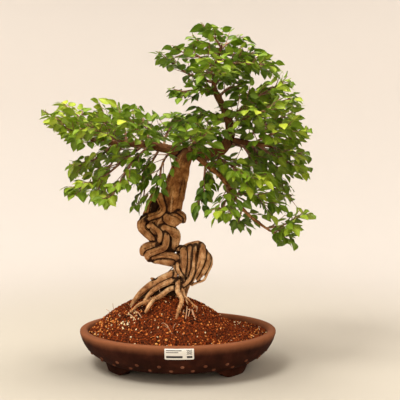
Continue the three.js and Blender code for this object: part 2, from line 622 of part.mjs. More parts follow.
function soilHeight(x, y) {
  const across = (x - MOUND_CENTRE.x) / (x < MOUND_CENTRE.x ? MOUND_REACH.left : MOUND_REACH.right);
  const back = (y - MOUND_CENTRE.y) / MOUND_REACH.depth;
  const mound = Math.max(0, 1 - across * across - back * back);
  const grain = Math.sin(x * 0.31 + y * 0.17) * Math.cos(y * 0.29 - x * 0.13) * SOIL_GRAIN;
  return SOIL_EDGE_HEIGHT + SOIL_RISE * mound + grain * Math.min(1, mound * 6 + 0.2);
}

// The filling stands off the pot's wall, floor and screens, and the wood stands in holes in it.
function soilSolid(hollows) {
  const heights = [FLOOR_TOP, INNER_WALL[1][1], SOIL_EDGE_HEIGHT];
  const sides = heights.map((height) => [reachAt(INNER_WALL, height) - FIT_GAP * 1.5, height]);
  sides[0][1] += FIT_GAP;
  const rings = SOIL_RINGS.map((reach) => [reach, SOIL_EDGE_HEIGHT]);
  const filling = ovalGeometry([[0, sides[0][1]], ...sides, ...rings, [0, SOIL_EDGE_HEIGHT]]);
  const mounded = bent(filling, ({ x, y, z }) => {
    const inside = Math.hypot(x, y / POT_DEPTH_RATIO) < SOIL_RINGS[0] + 1;
    const onTop = inside && z > SOIL_EDGE_HEIGHT - 0.01;
    return new THREE.Vector3(x, y, onTop ? soilHeight(x, y) : z);
  });
  return mainBody(solidOf(mounded.rotateZ(POT_YAW)).subtract(joined(hollows)));
}

// Small pieces

// The anchor wire comes out of the soil behind the roots and ends under the knot.
const WIRE_ROUTE = [[-46, 104, 26, 0.9], [-36, 137, 22, 0.9], [-22, 160, 18, 0.9], [-8, 175, 14, 0.9]];

function wireSolid(extra = 0) {
  return limbSolid(makeLimb(WIRE_ROUTE), 5, 5, extra);
}

function boxSolid(width, height, x, y, z) {
  return solidOf(new THREE.BoxGeometry(width, width, height).translate(x, y, z));
}

function drainScreenSolid(x) {
  const level = FLOOR_TOP + FIT_GAP + 0.5;
  const places = [-DRAIN.pitch / 2, DRAIN.pitch / 2];
  const holes = places.flatMap((a) => places.map((b) => boxSolid(DRAIN.hole, 3, x + a, b, level)));
  return boxSolid(DRAIN.screen, 1, x, 0, level).subtract(joined(holes));
}

function drainScreenSpace(x) {
  const space = boxSolid(DRAIN.screen + 1, 3, x, 0, FLOOR_TOP + FIT_GAP);
  return space.rotate([0, 0, THREE.MathUtils.radToDeg(POT_YAW)]);
}

// A thin plate that follows the wall below the rim, with its corners taken off.
function labelSolid() {
  const plate = new THREE.BoxGeometry(LABEL.width, LABEL.thickness, 2, 6, 1, 2);
  const shaped = ({ x, y, z }) => {
    const corner = Math.abs(x) > LABEL.width / 2 - 1 ? LABEL.corner * z : 0;
    const height = LABEL.rows[Math.round(z) + 1] - corner;
    const reach = reachAt(OUTER_WALL, height) + FIT_GAP * 1.3 + LABEL.thickness / 2 - y;
    const across = x + LABEL.centre;
    const out = Math.sqrt(1 - (across / reach) ** 2) * reach * POT_DEPTH_RATIO;
    return new THREE.Vector3(across, -out, height);
  };
  return solidOf(bent(plate, shaped));
}

// Assembly

const limbs = woodLimbs();
const woodSpace = woodSolid(limbs, FIT_GAP);
const screens = [-DRAIN.offset, DRAIN.offset];
const hollows = [woodSpace, wireSolid(FIT_GAP), ...screens.map(drainScreenSpace)];

const potGroup = new THREE.Group();
potGroup.rotation.z = POT_YAW;
potGroup.add(namedMesh("pot", potSolid(), MATERIALS.clay));
potGroup.add(namedMesh("label", labelSolid(), MATERIALS.label));
screens.forEach((x, i) => {
  potGroup.add(namedMesh(`drain_screen_${i + 1}`, drainScreenSolid(x), MATERIALS.screen));
});

const plant = new THREE.Group();
plant.add(potGroup);
plant.add(namedMesh("soil", soilSolid(hollows), MATERIALS.soil));
plant.add(namedMesh("trunk", woodSolid(limbs), MATERIALS.wood));
plant.add(namedMesh("tie_wire", mainBody(wireSolid().subtract(woodSpace)), MATERIALS.wire));
growSprays(limbs).forEach((spray, i) => {
  const name = `spray_${String(i + 1).padStart(2, "0")}`;
  plant.add(namedMesh(name, spraySolid(spray, woodSpace), MATERIALS.leaf));
});

// The origin is on the floor, under the middle of the box round the whole plant.
const box = new THREE.Box3().setFromObject(plant, true);
const middle = box.getCenter(new THREE.Vector3());
plant.position.set(-middle.x, -middle.y, -box.min.z);

const bonsai = new THREE.Group();
bonsai.add(plant);

export default bonsai;
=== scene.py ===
"""Korean hornbeam bonsai in an unglazed oval pot, with its bark, leaves, soil and stage.

Shapes are worked out in millimetres about the middle of the pot and are turned to metres, and moved
to where the pot stands, when their meshes are made. The front of the tree faces -Y.
"""

from __future__ import annotations

import logging
import math
from dataclasses import dataclass, field
from enum import Enum
from typing import Any, Iterable, Sequence

import bpy
import numpy as np
from bpy.types import ColorRamp, Material, Mesh, NodeSocket, NodeTree, Object
from mathutils import Euler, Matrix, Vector, noise


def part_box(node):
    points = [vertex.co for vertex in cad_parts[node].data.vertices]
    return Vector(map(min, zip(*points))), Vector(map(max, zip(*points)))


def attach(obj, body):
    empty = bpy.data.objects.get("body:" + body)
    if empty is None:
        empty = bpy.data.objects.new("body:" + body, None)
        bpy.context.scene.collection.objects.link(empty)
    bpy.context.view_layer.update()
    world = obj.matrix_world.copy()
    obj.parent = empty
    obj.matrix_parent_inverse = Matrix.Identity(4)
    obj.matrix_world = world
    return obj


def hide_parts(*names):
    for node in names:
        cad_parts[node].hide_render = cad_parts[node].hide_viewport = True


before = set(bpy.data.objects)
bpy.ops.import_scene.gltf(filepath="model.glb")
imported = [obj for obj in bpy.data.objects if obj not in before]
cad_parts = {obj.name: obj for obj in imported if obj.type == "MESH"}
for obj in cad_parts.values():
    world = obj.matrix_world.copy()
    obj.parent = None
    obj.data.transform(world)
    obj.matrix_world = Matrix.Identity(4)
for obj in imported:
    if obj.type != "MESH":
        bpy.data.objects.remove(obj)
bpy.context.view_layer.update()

LOG = logging.getLogger("bonsai")
MM = 0.001
UP = np.array([0.0, 0.0, 1.0])
EYE = np.array([40.0, -956.0, 296.0])
POT_YAW = math.radians(-3)
POT_RATIO = 0.77
Array = np.ndarray
Route = Sequence[Sequence[float]]
Pair = tuple[float, float]
Triple = tuple[float, float, float]
Colour = Triple
Spots = Sequence[Triple]
Faces = list[tuple[int, ...]]


# Numbers and curves


class Stream:
    """A repeatable stream of random numbers."""

    FACTOR = 16807
    PERIOD = 2147483647

    def __init__(self, state: int) -> None:
        """Starts the stream at a seed from 1 up."""
        self.state = state

    def draw(self, low: float, high: float) -> float:
        """Gives the next number between two values."""
        self.state = self.state * self.FACTOR % self.PERIOD
        return low + (high - low) * self.state / self.PERIOD


def unit(vector: Array) -> Array:
    """Scales a vector, or each row of a table of them, to length 1."""
    return vector / np.linalg.norm(vector, axis=-1, keepdims=True)


def turned(vector: Array, axis: Array, angle: float) -> Array:
    """Turns a vector.

    Args:
        vector: The vector.
        axis: The axis to turn it about, of length 1.
        angle: The angle in radians, by the right-hand rule.

    Returns:
        The turned vector.
    """
    cos, sin = math.cos(angle), math.sin(angle)
    return vector * cos + np.cross(axis, vector) * sin + axis * float(axis @ vector) * (1 - cos)


def seen(across: float, up: float, depth: float) -> Array:
    """Moves a point of the front view along its line of sight.

    Args:
        across: Its X on the upright plane through the pot's middle.
        up: Its Z on that plane.
        depth: The Y to move it to.

    Returns:
        The point.
    """
    reach = (depth - EYE[1]) / -EYE[1]
    return np.array([EYE[0] + (across - EYE[0]) * reach, depth, EYE[2] + (up - EYE[2]) * reach])


class Limb:
    """A smooth curve with a radius at each of the points it passes through."""

    DIVISIONS = 200

    def __init__(self, points: Array, radii: Sequence[float]) -> None:
        """Fits the curve.

        Args:
            points: The points, one a row.
            radii: The radius at each.
        """
        self.points = np.asarray(points, dtype=float)
        self.radii = np.asarray(radii, dtype=float)
        self.cubics = self._cubics()
        steps = self.at(np.linspace(0, 1, self.DIVISIONS + 1))
        chords = np.linalg.norm(np.diff(steps, axis=0), axis=1)
        self.lengths = np.concatenate([[0.0], np.cumsum(chords)])

    @classmethod
    def along(cls, route: Route) -> Limb:
        """Makes a limb from rows of [across, up, depth, radius] as the front view shows them."""
        return cls(np.array([seen(*row[:3]) for row in route]), [row[3] for row in route])

    def _cubics(self) -> Array:
        """Gives the four coefficients of each span, by the centripetal Catmull-Rom rule."""
        p = self.points
        padded = np.vstack([2 * p[0] - p[1], p, 2 * p[-1] - p[-2]])
        made = []
        for i in range(len(p) - 1):
            before, start, end, after = padded[i : i + 4]
            first = np.linalg.norm(start - before) ** 0.5
            span = np.linalg.norm(end - start) ** 0.5
            last = np.linalg.norm(after - end) ** 0.5
            leave = (start - before) / first - (end - before) / (first + span) + (end - start) / span
            arrive = (end - start) / span - (after - start) / (span + last) + (after - end) / last
            leave, arrive = leave * span, arrive * span
            second = -3 * start + 3 * end - 2 * leave - arrive
            third = 2 * start - 2 * end + leave + arrive
            made.append([start, leave, second, third])
        return np.array(made)

    def at(self, places: Array) -> Array:
        """Gives the points at curve parameters from 0 to 1."""
        spans = len(self.cubics)
        scaled = np.clip(np.atleast_1d(places), 0, 1) * spans
        index = np.minimum(scaled.astype(int), spans - 1)
        w = (scaled - index)[:, None]
        c = self.cubics[index]
        return c[:, 0] + w * (c[:, 1] + w * (c[:, 2] + w * c[:, 3]))

    def place(self, parts: Array) -> Array:
        """Turns shares of the limb's length into curve parameters."""
        targets = np.atleast_1d(parts) * self.length
        return np.interp(targets, self.lengths, np.linspace(0, 1, self.DIVISIONS + 1))

    def point(self, parts: Array) -> Array:
        """Gives the points at shares of the limb's length."""
        return self.at(self.place(parts))

    def heading(self, parts: Array) -> Array:
        """Gives the directions at shares of the limb's length."""
        places, step = self.place(parts), 0.0001
        return unit(self.at(places + step) - self.at(places - step))

    def radius(self, parts: Array) -> Array:
        """Gives the radii at shares of the limb's length."""
        return np.interp(self.place(parts) * (len(self.radii) - 1), np.arange(len(self.radii)), self.radii)

    @property
    def length(self) -> float:
        """The limb's length."""
        return float(self.lengths[-1])

    def frames(self, parts: Array) -> tuple[Array, Array]:
        """Gives two directions square to the limb that twist as little as they can.

        Args:
            parts: Shares of the limb's length, in order.

        Returns:
            The first and the second direction at each share.
        """
        headings = self.heading(parts)
        spare = np.eye(3)[int(np.argmin(np.abs(headings[0])))]
        normal = unit(np.cross(headings[0], spare))
        normals = []
        for heading in headings:
            normal = unit(normal - heading * float(normal @ heading))
            normals.append(normal)
        return np.array(normals), np.cross(headings, np.array(normals))


# Meshes


def pot_middle() -> Array:
    """Gives the middle of the pot on the floor, in metres."""
    low, high = (np.array(corner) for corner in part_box("pot"))
    return np.array([(low[0] + high[0]) / 2, (low[1] + high[1]) / 2, 0.0])


def placed(name: str, data: Any) -> Object:
    """Makes an object of some data, at the origin, and puts it in the scene."""
    made = bpy.data.objects.new(name, data)
    bpy.context.scene.collection.objects.link(made)
    return made


def shade(mesh: Mesh, smooth: bool = True) -> None:
    """Shades every face of a mesh smooth, or flat."""
    mesh.polygons.foreach_set("use_smooth", [smooth] * len(mesh.polygons))


def load_numbers(mesh: Mesh, numbers: dict[str, Array]) -> None:
    """Lets named numbers ride on a mesh's points."""
    for name, values in numbers.items():
        mesh.attributes.new(name, "FLOAT", "POINT").data.foreach_set("value", values)


class Shape:
    """Points and faces gathered in millimetres, with numbers that ride on the points."""

    def __init__(self) -> None:
        """Starts empty."""
        self.points: list[Array] = []
        self.faces: Faces = []
        self.finishes: list[int] = []
        self.numbers: dict[str, list[Array]] = {}
        self.count = 0

    def add(
        self, points: Array, faces: Iterable[Sequence[int]], finish: int = 0, **numbers: Any
    ) -> None:
        """Adds points and the faces between them.

        Args:
            points: The points, one a row.
            faces: Each face as numbers of those points.
            finish: Which of the piece's materials they wear.
            **numbers: One number for each point, or one for all, under a name of its own.
        """
        before = self.count
        points = np.asarray(points, dtype=float)
        made = [tuple(corner + before for corner in face) for face in faces]
        self.points.append(points)
        self.faces.extend(made)
        self.finishes.extend([finish] * len(made))
        for name in set(self.numbers) | set(numbers):
            rows = self.numbers.setdefault(name, [np.zeros(before)] if before else [])
            values = np.asarray(numbers.get(name, 0.0), dtype=float)
            rows.append(np.broadcast_to(values, len(points)))
        self.count += len(points)

    def build(
        self, name: str, materials: Sequence[Material], smooth: bool = True
    ) -> Object:
        """Makes the object.

        Args:
            name: Its name.
            materials: Its materials, in the order that `finish` counts them.
            smooth: Whether its faces are shaded smooth.

        Returns:
            The object, at the origin, with its place in its mesh.
        """
        mesh = bpy.data.meshes.new(name)
        mesh.from_pydata((np.vstack(self.points) * MM + pot_middle()).tolist(), [], self.faces)
        mesh.polygons.foreach_set("material_index", self.finishes)
        shade(mesh, smooth)
        load_numbers(mesh, {key: np.concatenate(rows) for key, rows in self.numbers.items()})
        for material in materials:
            mesh.materials.append(material)
        mesh.update()
        return placed(name, mesh)


def all_round(count: int) -> Array:
    """Gives angles at even steps all the way round."""
    return np.arange(count) * 2 * math.pi / count


def band_faces(rings: int, sides: int, reverse: bool = False) -> Faces:
    """Joins rings of points, which follow one another, by four-sided faces.

    Args:
        rings: How many rings there are.
        sides: How many points each has.
        reverse: Whether the faces look the other way.

    Returns:
        The faces.
    """
    faces: Faces = []
    for i in range(rings - 1):
        for k in range(sides):
            n = (k + 1) % sides
            start, *rest = i * sides + k, i * sides + n, (i + 1) * sides + n, (i + 1) * sides + k
            faces.append((start, *(rest[::-1] if reverse else rest)))
    return faces


def closed_faces(rings: int, sides: int) -> Faces:
    """Joins rings of points, and both end rings to the two points that come after them all."""
    faces = band_faces(rings, sides)
    low, high, last = rings * sides, rings * sides + 1, (rings - 1) * sides
    for k in range(sides):
        n = (k + 1) % sides
        faces += [(low, n, k), (high, last + k, last + n)]
    return faces


END_BULGE = 0.6


def tube(limb: Limb, sides: int, spacing: float, least: float = 0.0) -> tuple[Array, Faces]:
    """Wraps a closed tube with rounded ends round a limb.

    Args:
        limb: The limb.
        sides: How many sides it has.
        spacing: The length of one section.
        least: The least radius.

    Returns:
        Its points and faces.
    """
    steps = max(3, round(limb.length / spacing))
    parts = np.linspace(0, 1, steps + 1)
    centres, radii = limb.point(parts), np.maximum(limb.radius(parts), least)
    first, second = limb.frames(parts)
    angles = all_round(sides)
    ring = first[:, None] * np.cos(angles)[None, :, None] + second[:, None] * np.sin(angles)[None, :, None]
    points = (centres[:, None] + ring * radii[:, None, None]).reshape(-1, 3)
    headings = limb.heading(parts)
    start = centres[0] - headings[0] * radii[0] * END_BULGE
    end = centres[-1] + headings[-1] * radii[-1] * END_BULGE
    return np.vstack([points, start, end]), closed_faces(steps + 1, sides)


def applied(piece: Object) -> Object:
    """Turns an object's modifiers into plain mesh, removes them and gives the object."""
    graph = bpy.context.evaluated_depsgraph_get()
    made = bpy.data.meshes.new_from_object(piece.evaluated_get(graph), depsgraph=graph)
    old = piece.data
    piece.modifiers.clear()
    piece.data = made
    made.name = piece.name
    bpy.data.meshes.remove(old)
    return piece


def bevelled(piece: Object, sharpest: float, width: float, segments: int = 1) -> Object:
    """Rounds the sharp edges of an object.

    Args:
        piece: The object.
        sharpest: The angle in degrees from which an edge is rounded.
        width: The width of the rounding in millimetres.
        segments: How many steps it has.

    Returns:
        The same object, as plain mesh.
    """
    edge = piece.modifiers.new("edge", "BEVEL")
    edge.limit_method = "ANGLE"
    edge.angle_limit = math.radians(sharpest)
    edge.width = width * MM
    edge.segments = segments
    return applied(piece)


def handed_over(piece: Object, slot: str, *nodes: str) -> None:
    """Hangs a finished piece on the root body, hides the nodes that it stands for and logs how many faces it
    has.

    Args:
        piece: The piece.
        slot: The material slot that its finish belongs to; not used.
        *nodes: The nodes that it stands for.
    """
    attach(piece, "root")
    if nodes:
        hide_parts(*nodes)
    LOG.info("%s: %d faces", piece.name, len(piece.data.polygons))


# Materials


class Signal:
    """A node's socket that takes part in Python expressions."""

    def __init__(self, wiring: Wiring, socket: NodeSocket) -> None:
        """Wraps a socket of a node tree."""
        self.wiring, self.socket = wiring, socket

    def _maths(self, operation: str, *values: Any) -> Signal:
        """Joins values by a maths node."""
        return self.wiring.node("ShaderNodeMath", {"operation": operation}, dict(enumerate(values)))

    def __add__(self, other: Any) -> Signal:
        """Adds."""
        return self._maths("ADD", self, other)

    __radd__ = __add__

    def __mul__(self, other: Any) -> Signal:
        """Multiplies."""
        return self._maths("MULTIPLY", self, other)

    __rmul__ = __mul__

    def __sub__(self, other: Any) -> Signal:
        """Subtracts."""
        return self._maths("SUBTRACT", self, other)

    def __rsub__(self, other: Any) -> Signal:
        """Subtracts from a value."""
        return self._maths("SUBTRACT", other, self)

    def __truediv__(self, other: Any) -> Signal:
        """Divides."""
        return self._maths("DIVIDE", self, other)

    def __gt__(self, other: Any) -> Signal:
        """Gives 1 where it is the greater."""
        return self._maths("GREATER_THAN", self, other)

    def wrapped(self, method: str) -> Signal:
        """Passes it through a maths operation of one value, such as ABSOLUTE or FRACT."""
        return self._maths(method, self)

    def between(self, low: float, high: float) -> Signal:
        """Gives a smooth 0 to 1 as it goes from low to high."""
        values = {"Value": self, "From Min": low, "From Max": high}
        return self.wiring.node("ShaderNodeMapRange", {"interpolation_type": "SMOOTHSTEP"}, values)


class Wiring:
    """A node tree made from a few plain calls."""

    def __init__(self, tree: NodeTree) -> None:
        """Starts on a tree."""
        self.tree = tree

    def node(
        self,
        kind: str,
        settings: dict[str, Any] | None = None,
        values: dict[Any, Any] | None = None,
        output: int | str = 0,
    ) -> Signal:
        """Adds a node.

        Args:
            kind: Its type.
            settings: Its own settings. `stops` gives a ramp's places and colours.
            values: A value or a link for each of its sockets, by name or number.
            output: Which of its outputs to give.

        Returns:
            That output.
        """
        made = self.tree.nodes.new(kind)
        for key, value in (settings or {}).items():
            if key == "stops":
                self._set_stops(made.color_ramp, value)
            else:
                setattr(made, key, value)
        for key, value in (values or {}).items():
            if isinstance(value, Signal):
                self.tree.links.new(value.socket, made.inputs[key])
            elif isinstance(value, tuple) and made.inputs[key].type == "RGBA":
                made.inputs[key].default_value = (*value, 1.0)
            else:
                made.inputs[key].default_value = value
        return Signal(self, made.outputs[output])

    @staticmethod
    def _set_stops(ramp: ColorRamp, stops: Sequence[tuple[float, Colour]]) -> None:
        """Sets a ramp's places and colours."""
        while len(ramp.elements) < len(stops):
            ramp.elements.new(1.0)
        for element, (place, colour) in zip(ramp.elements, stops):
            element.position = place
            element.color = (*colour, 1.0)


class Graph(Wiring):
    """A material's nodes."""

    def __init__(self, name: str) -> None:
        """Starts a material of that name."""
        self.material = bpy.data.materials.new(name)
        self.material.use_nodes = True
        super().__init__(self.material.node_tree)
        self.tree.nodes.clear()

    def place(self, stretch: Triple = (1.0, 1.0, 1.0)) -> Signal:
        """Gives the object's own coordinates, in metres, stretched."""
        raw = self.node("ShaderNodeTexCoord", output="Object")
        return self.node("ShaderNodeMapping", {}, {"Vector": raw, "Scale": stretch})

    def height(self) -> Signal:
        """Gives the height above the floor, in metres."""
        return self.node("ShaderNodeSeparateXYZ", {}, {"Vector": self.place()}, "Z")

    def number(self, name: str) -> Signal:
        """Gives a number that rides on the piece's points."""
        return self.node("ShaderNodeAttribute", {"attribute_name": name}, output="Fac")

    def cloud(
        self, size: float, detail: float = 3.0, place: Signal | None = None, rough: float = 0.55
    ) -> Signal:
        """Gives soft noise.

        Args:
            size: The size of its largest patches, in millimetres.
            detail: How many finer layers it has.
            place: The coordinates, if not the object's own.
            rough: How strong the finer layers are.

        Returns:
            Its value, about 0.5.
        """
        values = {"Vector": place or self.place(), "Scale": 1 / MM / size}
        values |= {"Detail": detail, "Roughness": rough}
        return self.node("ShaderNodeTexNoise", {}, values)

    def ramp(self, value: Signal, *stops: tuple[float, Colour]) -> Signal:
        """Turns a value into a colour."""
        return self.node("ShaderNodeValToRGB", {"stops": stops}, {"Fac": value})

    def mix(self, share: Any, first: Any, second: Any) -> Signal:
        """Mixes two colours by a share of the second."""
        settings = {"data_type": "RGBA", "blend_type": "MIX"}
        return self.node("ShaderNodeMix", settings, {0: share, 6: first, 7: second}, 2)

    def bump(self, height: Signal, depth: float) -> Signal:
        """Turns a height from 0 to 1 into a normal, for a relief of a depth in millimetres."""
        return self.node("ShaderNodeBump", {}, {"Height": height, "Distance": depth * MM, "Strength": 1.0})

    def principled(self, colour: Any, roughness: Any, **others: Any) -> Signal:
        """Adds the surface shader, with underscores for the spaces in its other sockets' names."""
        values = {"Base Color": colour, "Roughness": roughness}
        values |= {key.replace("_", " "): value for key, value in others.items()}
        return self.node("ShaderNodeBsdfPrincipled", {}, values, "BSDF")

    def surface(self, shader: Signal) -> Material:
        """Ends the material with its shader and gives it."""
        output = self.tree.nodes.new("ShaderNodeOutputMaterial")
        self.tree.links.new(shader.socket, output.inputs["Surface"])
        return self.material

    def finished(self, colour: Any, roughness: Any, **others: Any) -> Material:
        """Ends the material with the surface shader alone and gives it."""
        return self.surface(self.principled(colour, roughness, **others))


def srgb(red: float, green: float, blue: float) -> Colour:
    """Turns a colour as it is seen, from 0 to 255, into light."""
    shares = (v / 255 for v in (red, green, blue))
    return tuple(v / 12.92 if v <= 0.04045 else ((v + 0.055) / 1.055) ** 2.4 for v in shares)


def darker(colour: Colour, share: float) -> Colour:
    """Gives a share of a colour's light."""
    return tuple(share * c for c in colour)


@dataclass(frozen=True)
class ClayFinish:
    """Unglazed brown stoneware: the wall's dark colour is partly painted shade, and a paler band round the
    top of the rim is painted light from above.
    """

    name: str = "clay"
    dark: Colour = srgb(30, 12, 6)
    body: Colour = srgb(48, 21, 12)
    pale: Colour = srgb(70, 34, 22)
    # The rim's paler band is painted light, where the light from above falls on it.
    rim_light: Colour = srgb(144, 88, 58)
    rim_light_height: Pair = (0.050, 0.0675)
    ragged: float = 0.004
    streak_stretch: Triple = (1.0, 1.0, 0.35)
    speck_share: float = 0.3
    roughness: float = 0.72
    roughness_spread: float = 0.16
    specular: float = 0.06
    grit_depth: float = 0.35

    def material(self) -> Material:
        """Makes the material."""
        g = Graph(self.name)
        stain = g.cloud(34, 5, rough=0.65)
        streak = g.cloud(12, 4, g.place(self.streak_stretch))
        colour = g.ramp(stain * 0.7 + streak * 0.3, (0.32, self.dark), (0.5, self.body), (0.72, self.pale))
        height = g.height() + (streak - 0.5) * self.ragged
        # Painted light: the paler rim colour, in a band round the rim's top, stands in for the light from
        # above.
        paler_clay = g.mix(stain, self.rim_light, darker(self.rim_light, 0.78))
        colour = g.mix(height.between(*self.rim_light_height), colour, paler_clay)
        speck = g.cloud(1.3, 1).between(0.66, 0.74)
        colour = g.mix(speck * self.speck_share, colour, self.pale)
        grit = g.cloud(0.9, 2) * 0.6 + g.cloud(4, 3) * 0.4
        rough = g.cloud(20, 3) * self.roughness_spread + self.roughness
        normal = g.bump(grit, self.grit_depth)
        return g.finished(colour, rough, Specular_IOR_Level=self.specular, Normal=normal)


@dataclass(frozen=True)
class GrainFinish:
    """Baked clay granules of one colour."""

    name: str
    low: Colour
    high: Colour
    cell: float = 0.003
    roughness: float = 0.92
    specular: float = 0.08
    grit_depth: float = 0.12

    def material(self) -> Material:
        """Makes the material, whose tone stays the same over each small cell of space."""
        g = Graph(self.name)
        cells = g.node("ShaderNodeVectorMath", {"operation": "SNAP"}, {0: g.place(), 1: (self.cell,) * 3})
        tone = g.node("ShaderNodeTexWhiteNoise", {}, {"Vector": cells}, "Value")
        colour = g.ramp(tone * 0.75 + g.cloud(1.4, 3) * 0.25, (0.1, self.low), (0.9, self.high))
        normal = g.bump(g.cloud(0.5, 3), self.grit_depth)
        return g.finished(colour, self.roughness, Specular_IOR_Level=self.specular, Normal=normal)


@dataclass(frozen=True)
class SoilFinish:
    """The fine filling between the granules, painted dark as the shade that lies between them."""

    dark: Colour = srgb(48, 20, 8)
    pale: Colour = srgb(108, 50, 22)
    pebble: float = 2.6
    pebble_depth: float = 1.2
    roughness: float = 0.95
    specular: float = 0.08

    def material(self) -> Material:
        """Makes the material."""
        g = Graph("soil_bed")
        colour = g.ramp(g.cloud(3, 4), (0.3, self.dark), (0.7, self.pale))
        cells = {"Vector": g.place(), "Scale": 1 / MM / self.pebble}
        normal = g.bump(g.node("ShaderNodeTexVoronoi", {}, cells, "Distance"), self.pebble_depth)
        return g.finished(colour, self.roughness, Specular_IOR_Level=self.specular, Normal=normal)


@dataclass(frozen=True)
class BarkFinish:
    """Old bark: warm brown on the trunk and paler on the roots, with painted shade dark in the creases
    between strands, in the flute valleys and on the heart strands.
    """

    trunk: tuple[Colour, ...] = (srgb(84, 46, 20), srgb(146, 94, 48), srgb(196, 142, 84))
    roots: tuple[Colour, ...] = (srgb(124, 76, 44), srgb(194, 142, 94), srgb(242, 206, 158))
    branches: Colour = srgb(80, 50, 32)
    # The tone of the painted shade in creases, flute valleys and heart strands.
    crease: Colour = srgb(32, 14, 6)
    ridge: Colour = srgb(236, 190, 132)
    grime: Colour = srgb(70, 36, 16)
    fissure: Colour = srgb(52, 26, 12)
    root_height: float = 0.15
    trunk_height: float = 0.29
    branch_height: Pair = (0.355, 0.385)
    fissure_stretch: Triple = (1.0, 1.0, 0.22)
    relief_depth: float = 0.9
    roughness: float = 0.85
    specular: float = 0.12

    def material(self) -> Material:
        """Makes the material."""
        g = Graph("bark")
        height = g.height()
        patches = g.cloud(14, 5, rough=0.62)
        trunk = g.ramp(patches, *zip((0.3, 0.5, 0.7), self.trunk))
        roots = g.ramp(patches, *zip((0.28, 0.5, 0.72), self.roots))
        grown = (height - self.root_height) * (1 / (self.trunk_height - self.root_height))
        colour = g.mix(grown, roots, trunk)
        grime = g.cloud(5, 4, rough=0.7).between(0.54, 0.68)
        fissure = g.cloud(5, 4, g.place(self.fissure_stretch), 0.7).between(0.44, 0.34)
        for share, tone in (
            (height.between(*self.branch_height) * 0.7, self.branches),
            # Painted shade: darker where strands meet, in flute valleys and on the heart strands.
            (g.number("crease").between(0.1, 0.8) * 0.95, self.crease),
            (g.number("ridge").between(0.55, 1.0) * 0.45, self.ridge),
            (grime * 0.5, self.grime),
            (fissure * 0.6, self.fissure),
        ):
            colour = g.mix(share, colour, tone)
        normal = g.bump(g.cloud(2.2, 4, rough=0.7) * 0.6 - fissure * 0.4, self.relief_depth)
        return g.finished(colour, self.roughness, Specular_IOR_Level=self.specular, Normal=normal)


@dataclass(frozen=True)
class TwigFinish:
    """Young wood: reddish brown and smoother than bark."""

    dark: Colour = srgb(84, 52, 36)
    pale: Colour = srgb(168, 120, 84)
    roughness: float = 0.7
    relief_depth: float = 0.25

    def material(self) -> Material:
        """Makes the material."""
        g = Graph("twig")
        colour = g.ramp(g.cloud(6, 3), (0.35, self.dark), (0.65, self.pale))
        return g.finished(colour, self.roughness, Normal=g.bump(g.cloud(1.5, 3), self.relief_depth))


@dataclass(frozen=True)
class LeafFinish:
    """A thin leaf with a fold, side veins, a paler underside and a colour of its own."""

    old: Colour = srgb(58, 90, 14)
    full: Colour = srgb(132, 162, 28)
    young: Colour = srgb(218, 226, 64)
    line: Colour = srgb(186, 204, 90)
    line_share: float = 0.3
    underside: Colour = srgb(136, 164, 76)
    underside_share: float = 0.4
    glow: Colour = srgb(176, 204, 36)
    glow_share: float = 0.28
    mottle: float = 0.24
    veins: float = 11.0
    vein_slant: float = 3.2
    vein_depth: float = 0.25
    roughness: float = 0.48
    specular: float = 0.35

    def material(self) -> Material:
        """Makes the material."""
        g = Graph("leaf")
        tint = g.number("tint") + g.cloud(9, 2) * self.mottle - self.mottle / 2
        colour = g.ramp(tint, (0.1, self.old), (0.5, self.full), (0.95, self.young))
        side = g.number("side").wrapped("ABSOLUTE")
        lanes = (g.number("along") * self.veins - side * self.vein_slant).wrapped("FRACT") - 0.5
        vein = lanes.wrapped("ABSOLUTE").between(0.36, 0.5)
        midrib = 1.0 - side.between(0.03, 0.12)
        lines = g.node("ShaderNodeMath", {"operation": "MAXIMUM"}, {0: vein * 0.45, 1: midrib})
        colour = g.mix(lines * self.line_share, colour, self.line)
        colour = g.mix(g.number("under") * self.underside_share, colour, self.underside)
        normal = g.bump(1.0 - vein * 0.7 - midrib * 0.3, self.vein_depth)
        shine = g.principled(colour, self.roughness, Specular_IOR_Level=self.specular, Normal=normal)
        glow = g.node("ShaderNodeBsdfTranslucent", {}, {"Color": self.glow})
        return g.surface(g.node("ShaderNodeMixShader", {}, {0: self.glow_share, 1: shine, 2: glow}))


@dataclass(frozen=True)
class PlainFinish:
    """A small made part: one colour with a faint mottle."""

    name: str
    colour: Colour
    roughness: float
    metallic: float = 0.0
    roughness_spread: float = 0.12
    relief_depth: float = 0.05

    def material(self) -> Material:
        """Makes the material."""
        g = Graph(self.name)
        mottle = g.mix(g.cloud(3, 3).between(0.3, 0.7) * 0.3, self.colour, darker(self.colour, 0.72))
        rough = g.cloud(5, 2) * self.roughness_spread + (self.roughness - self.roughness_spread / 2)
        normal = g.bump(g.cloud(1, 2), self.relief_depth)
        return g.finished(mottle, rough, Metallic=self.metallic, Normal=normal)


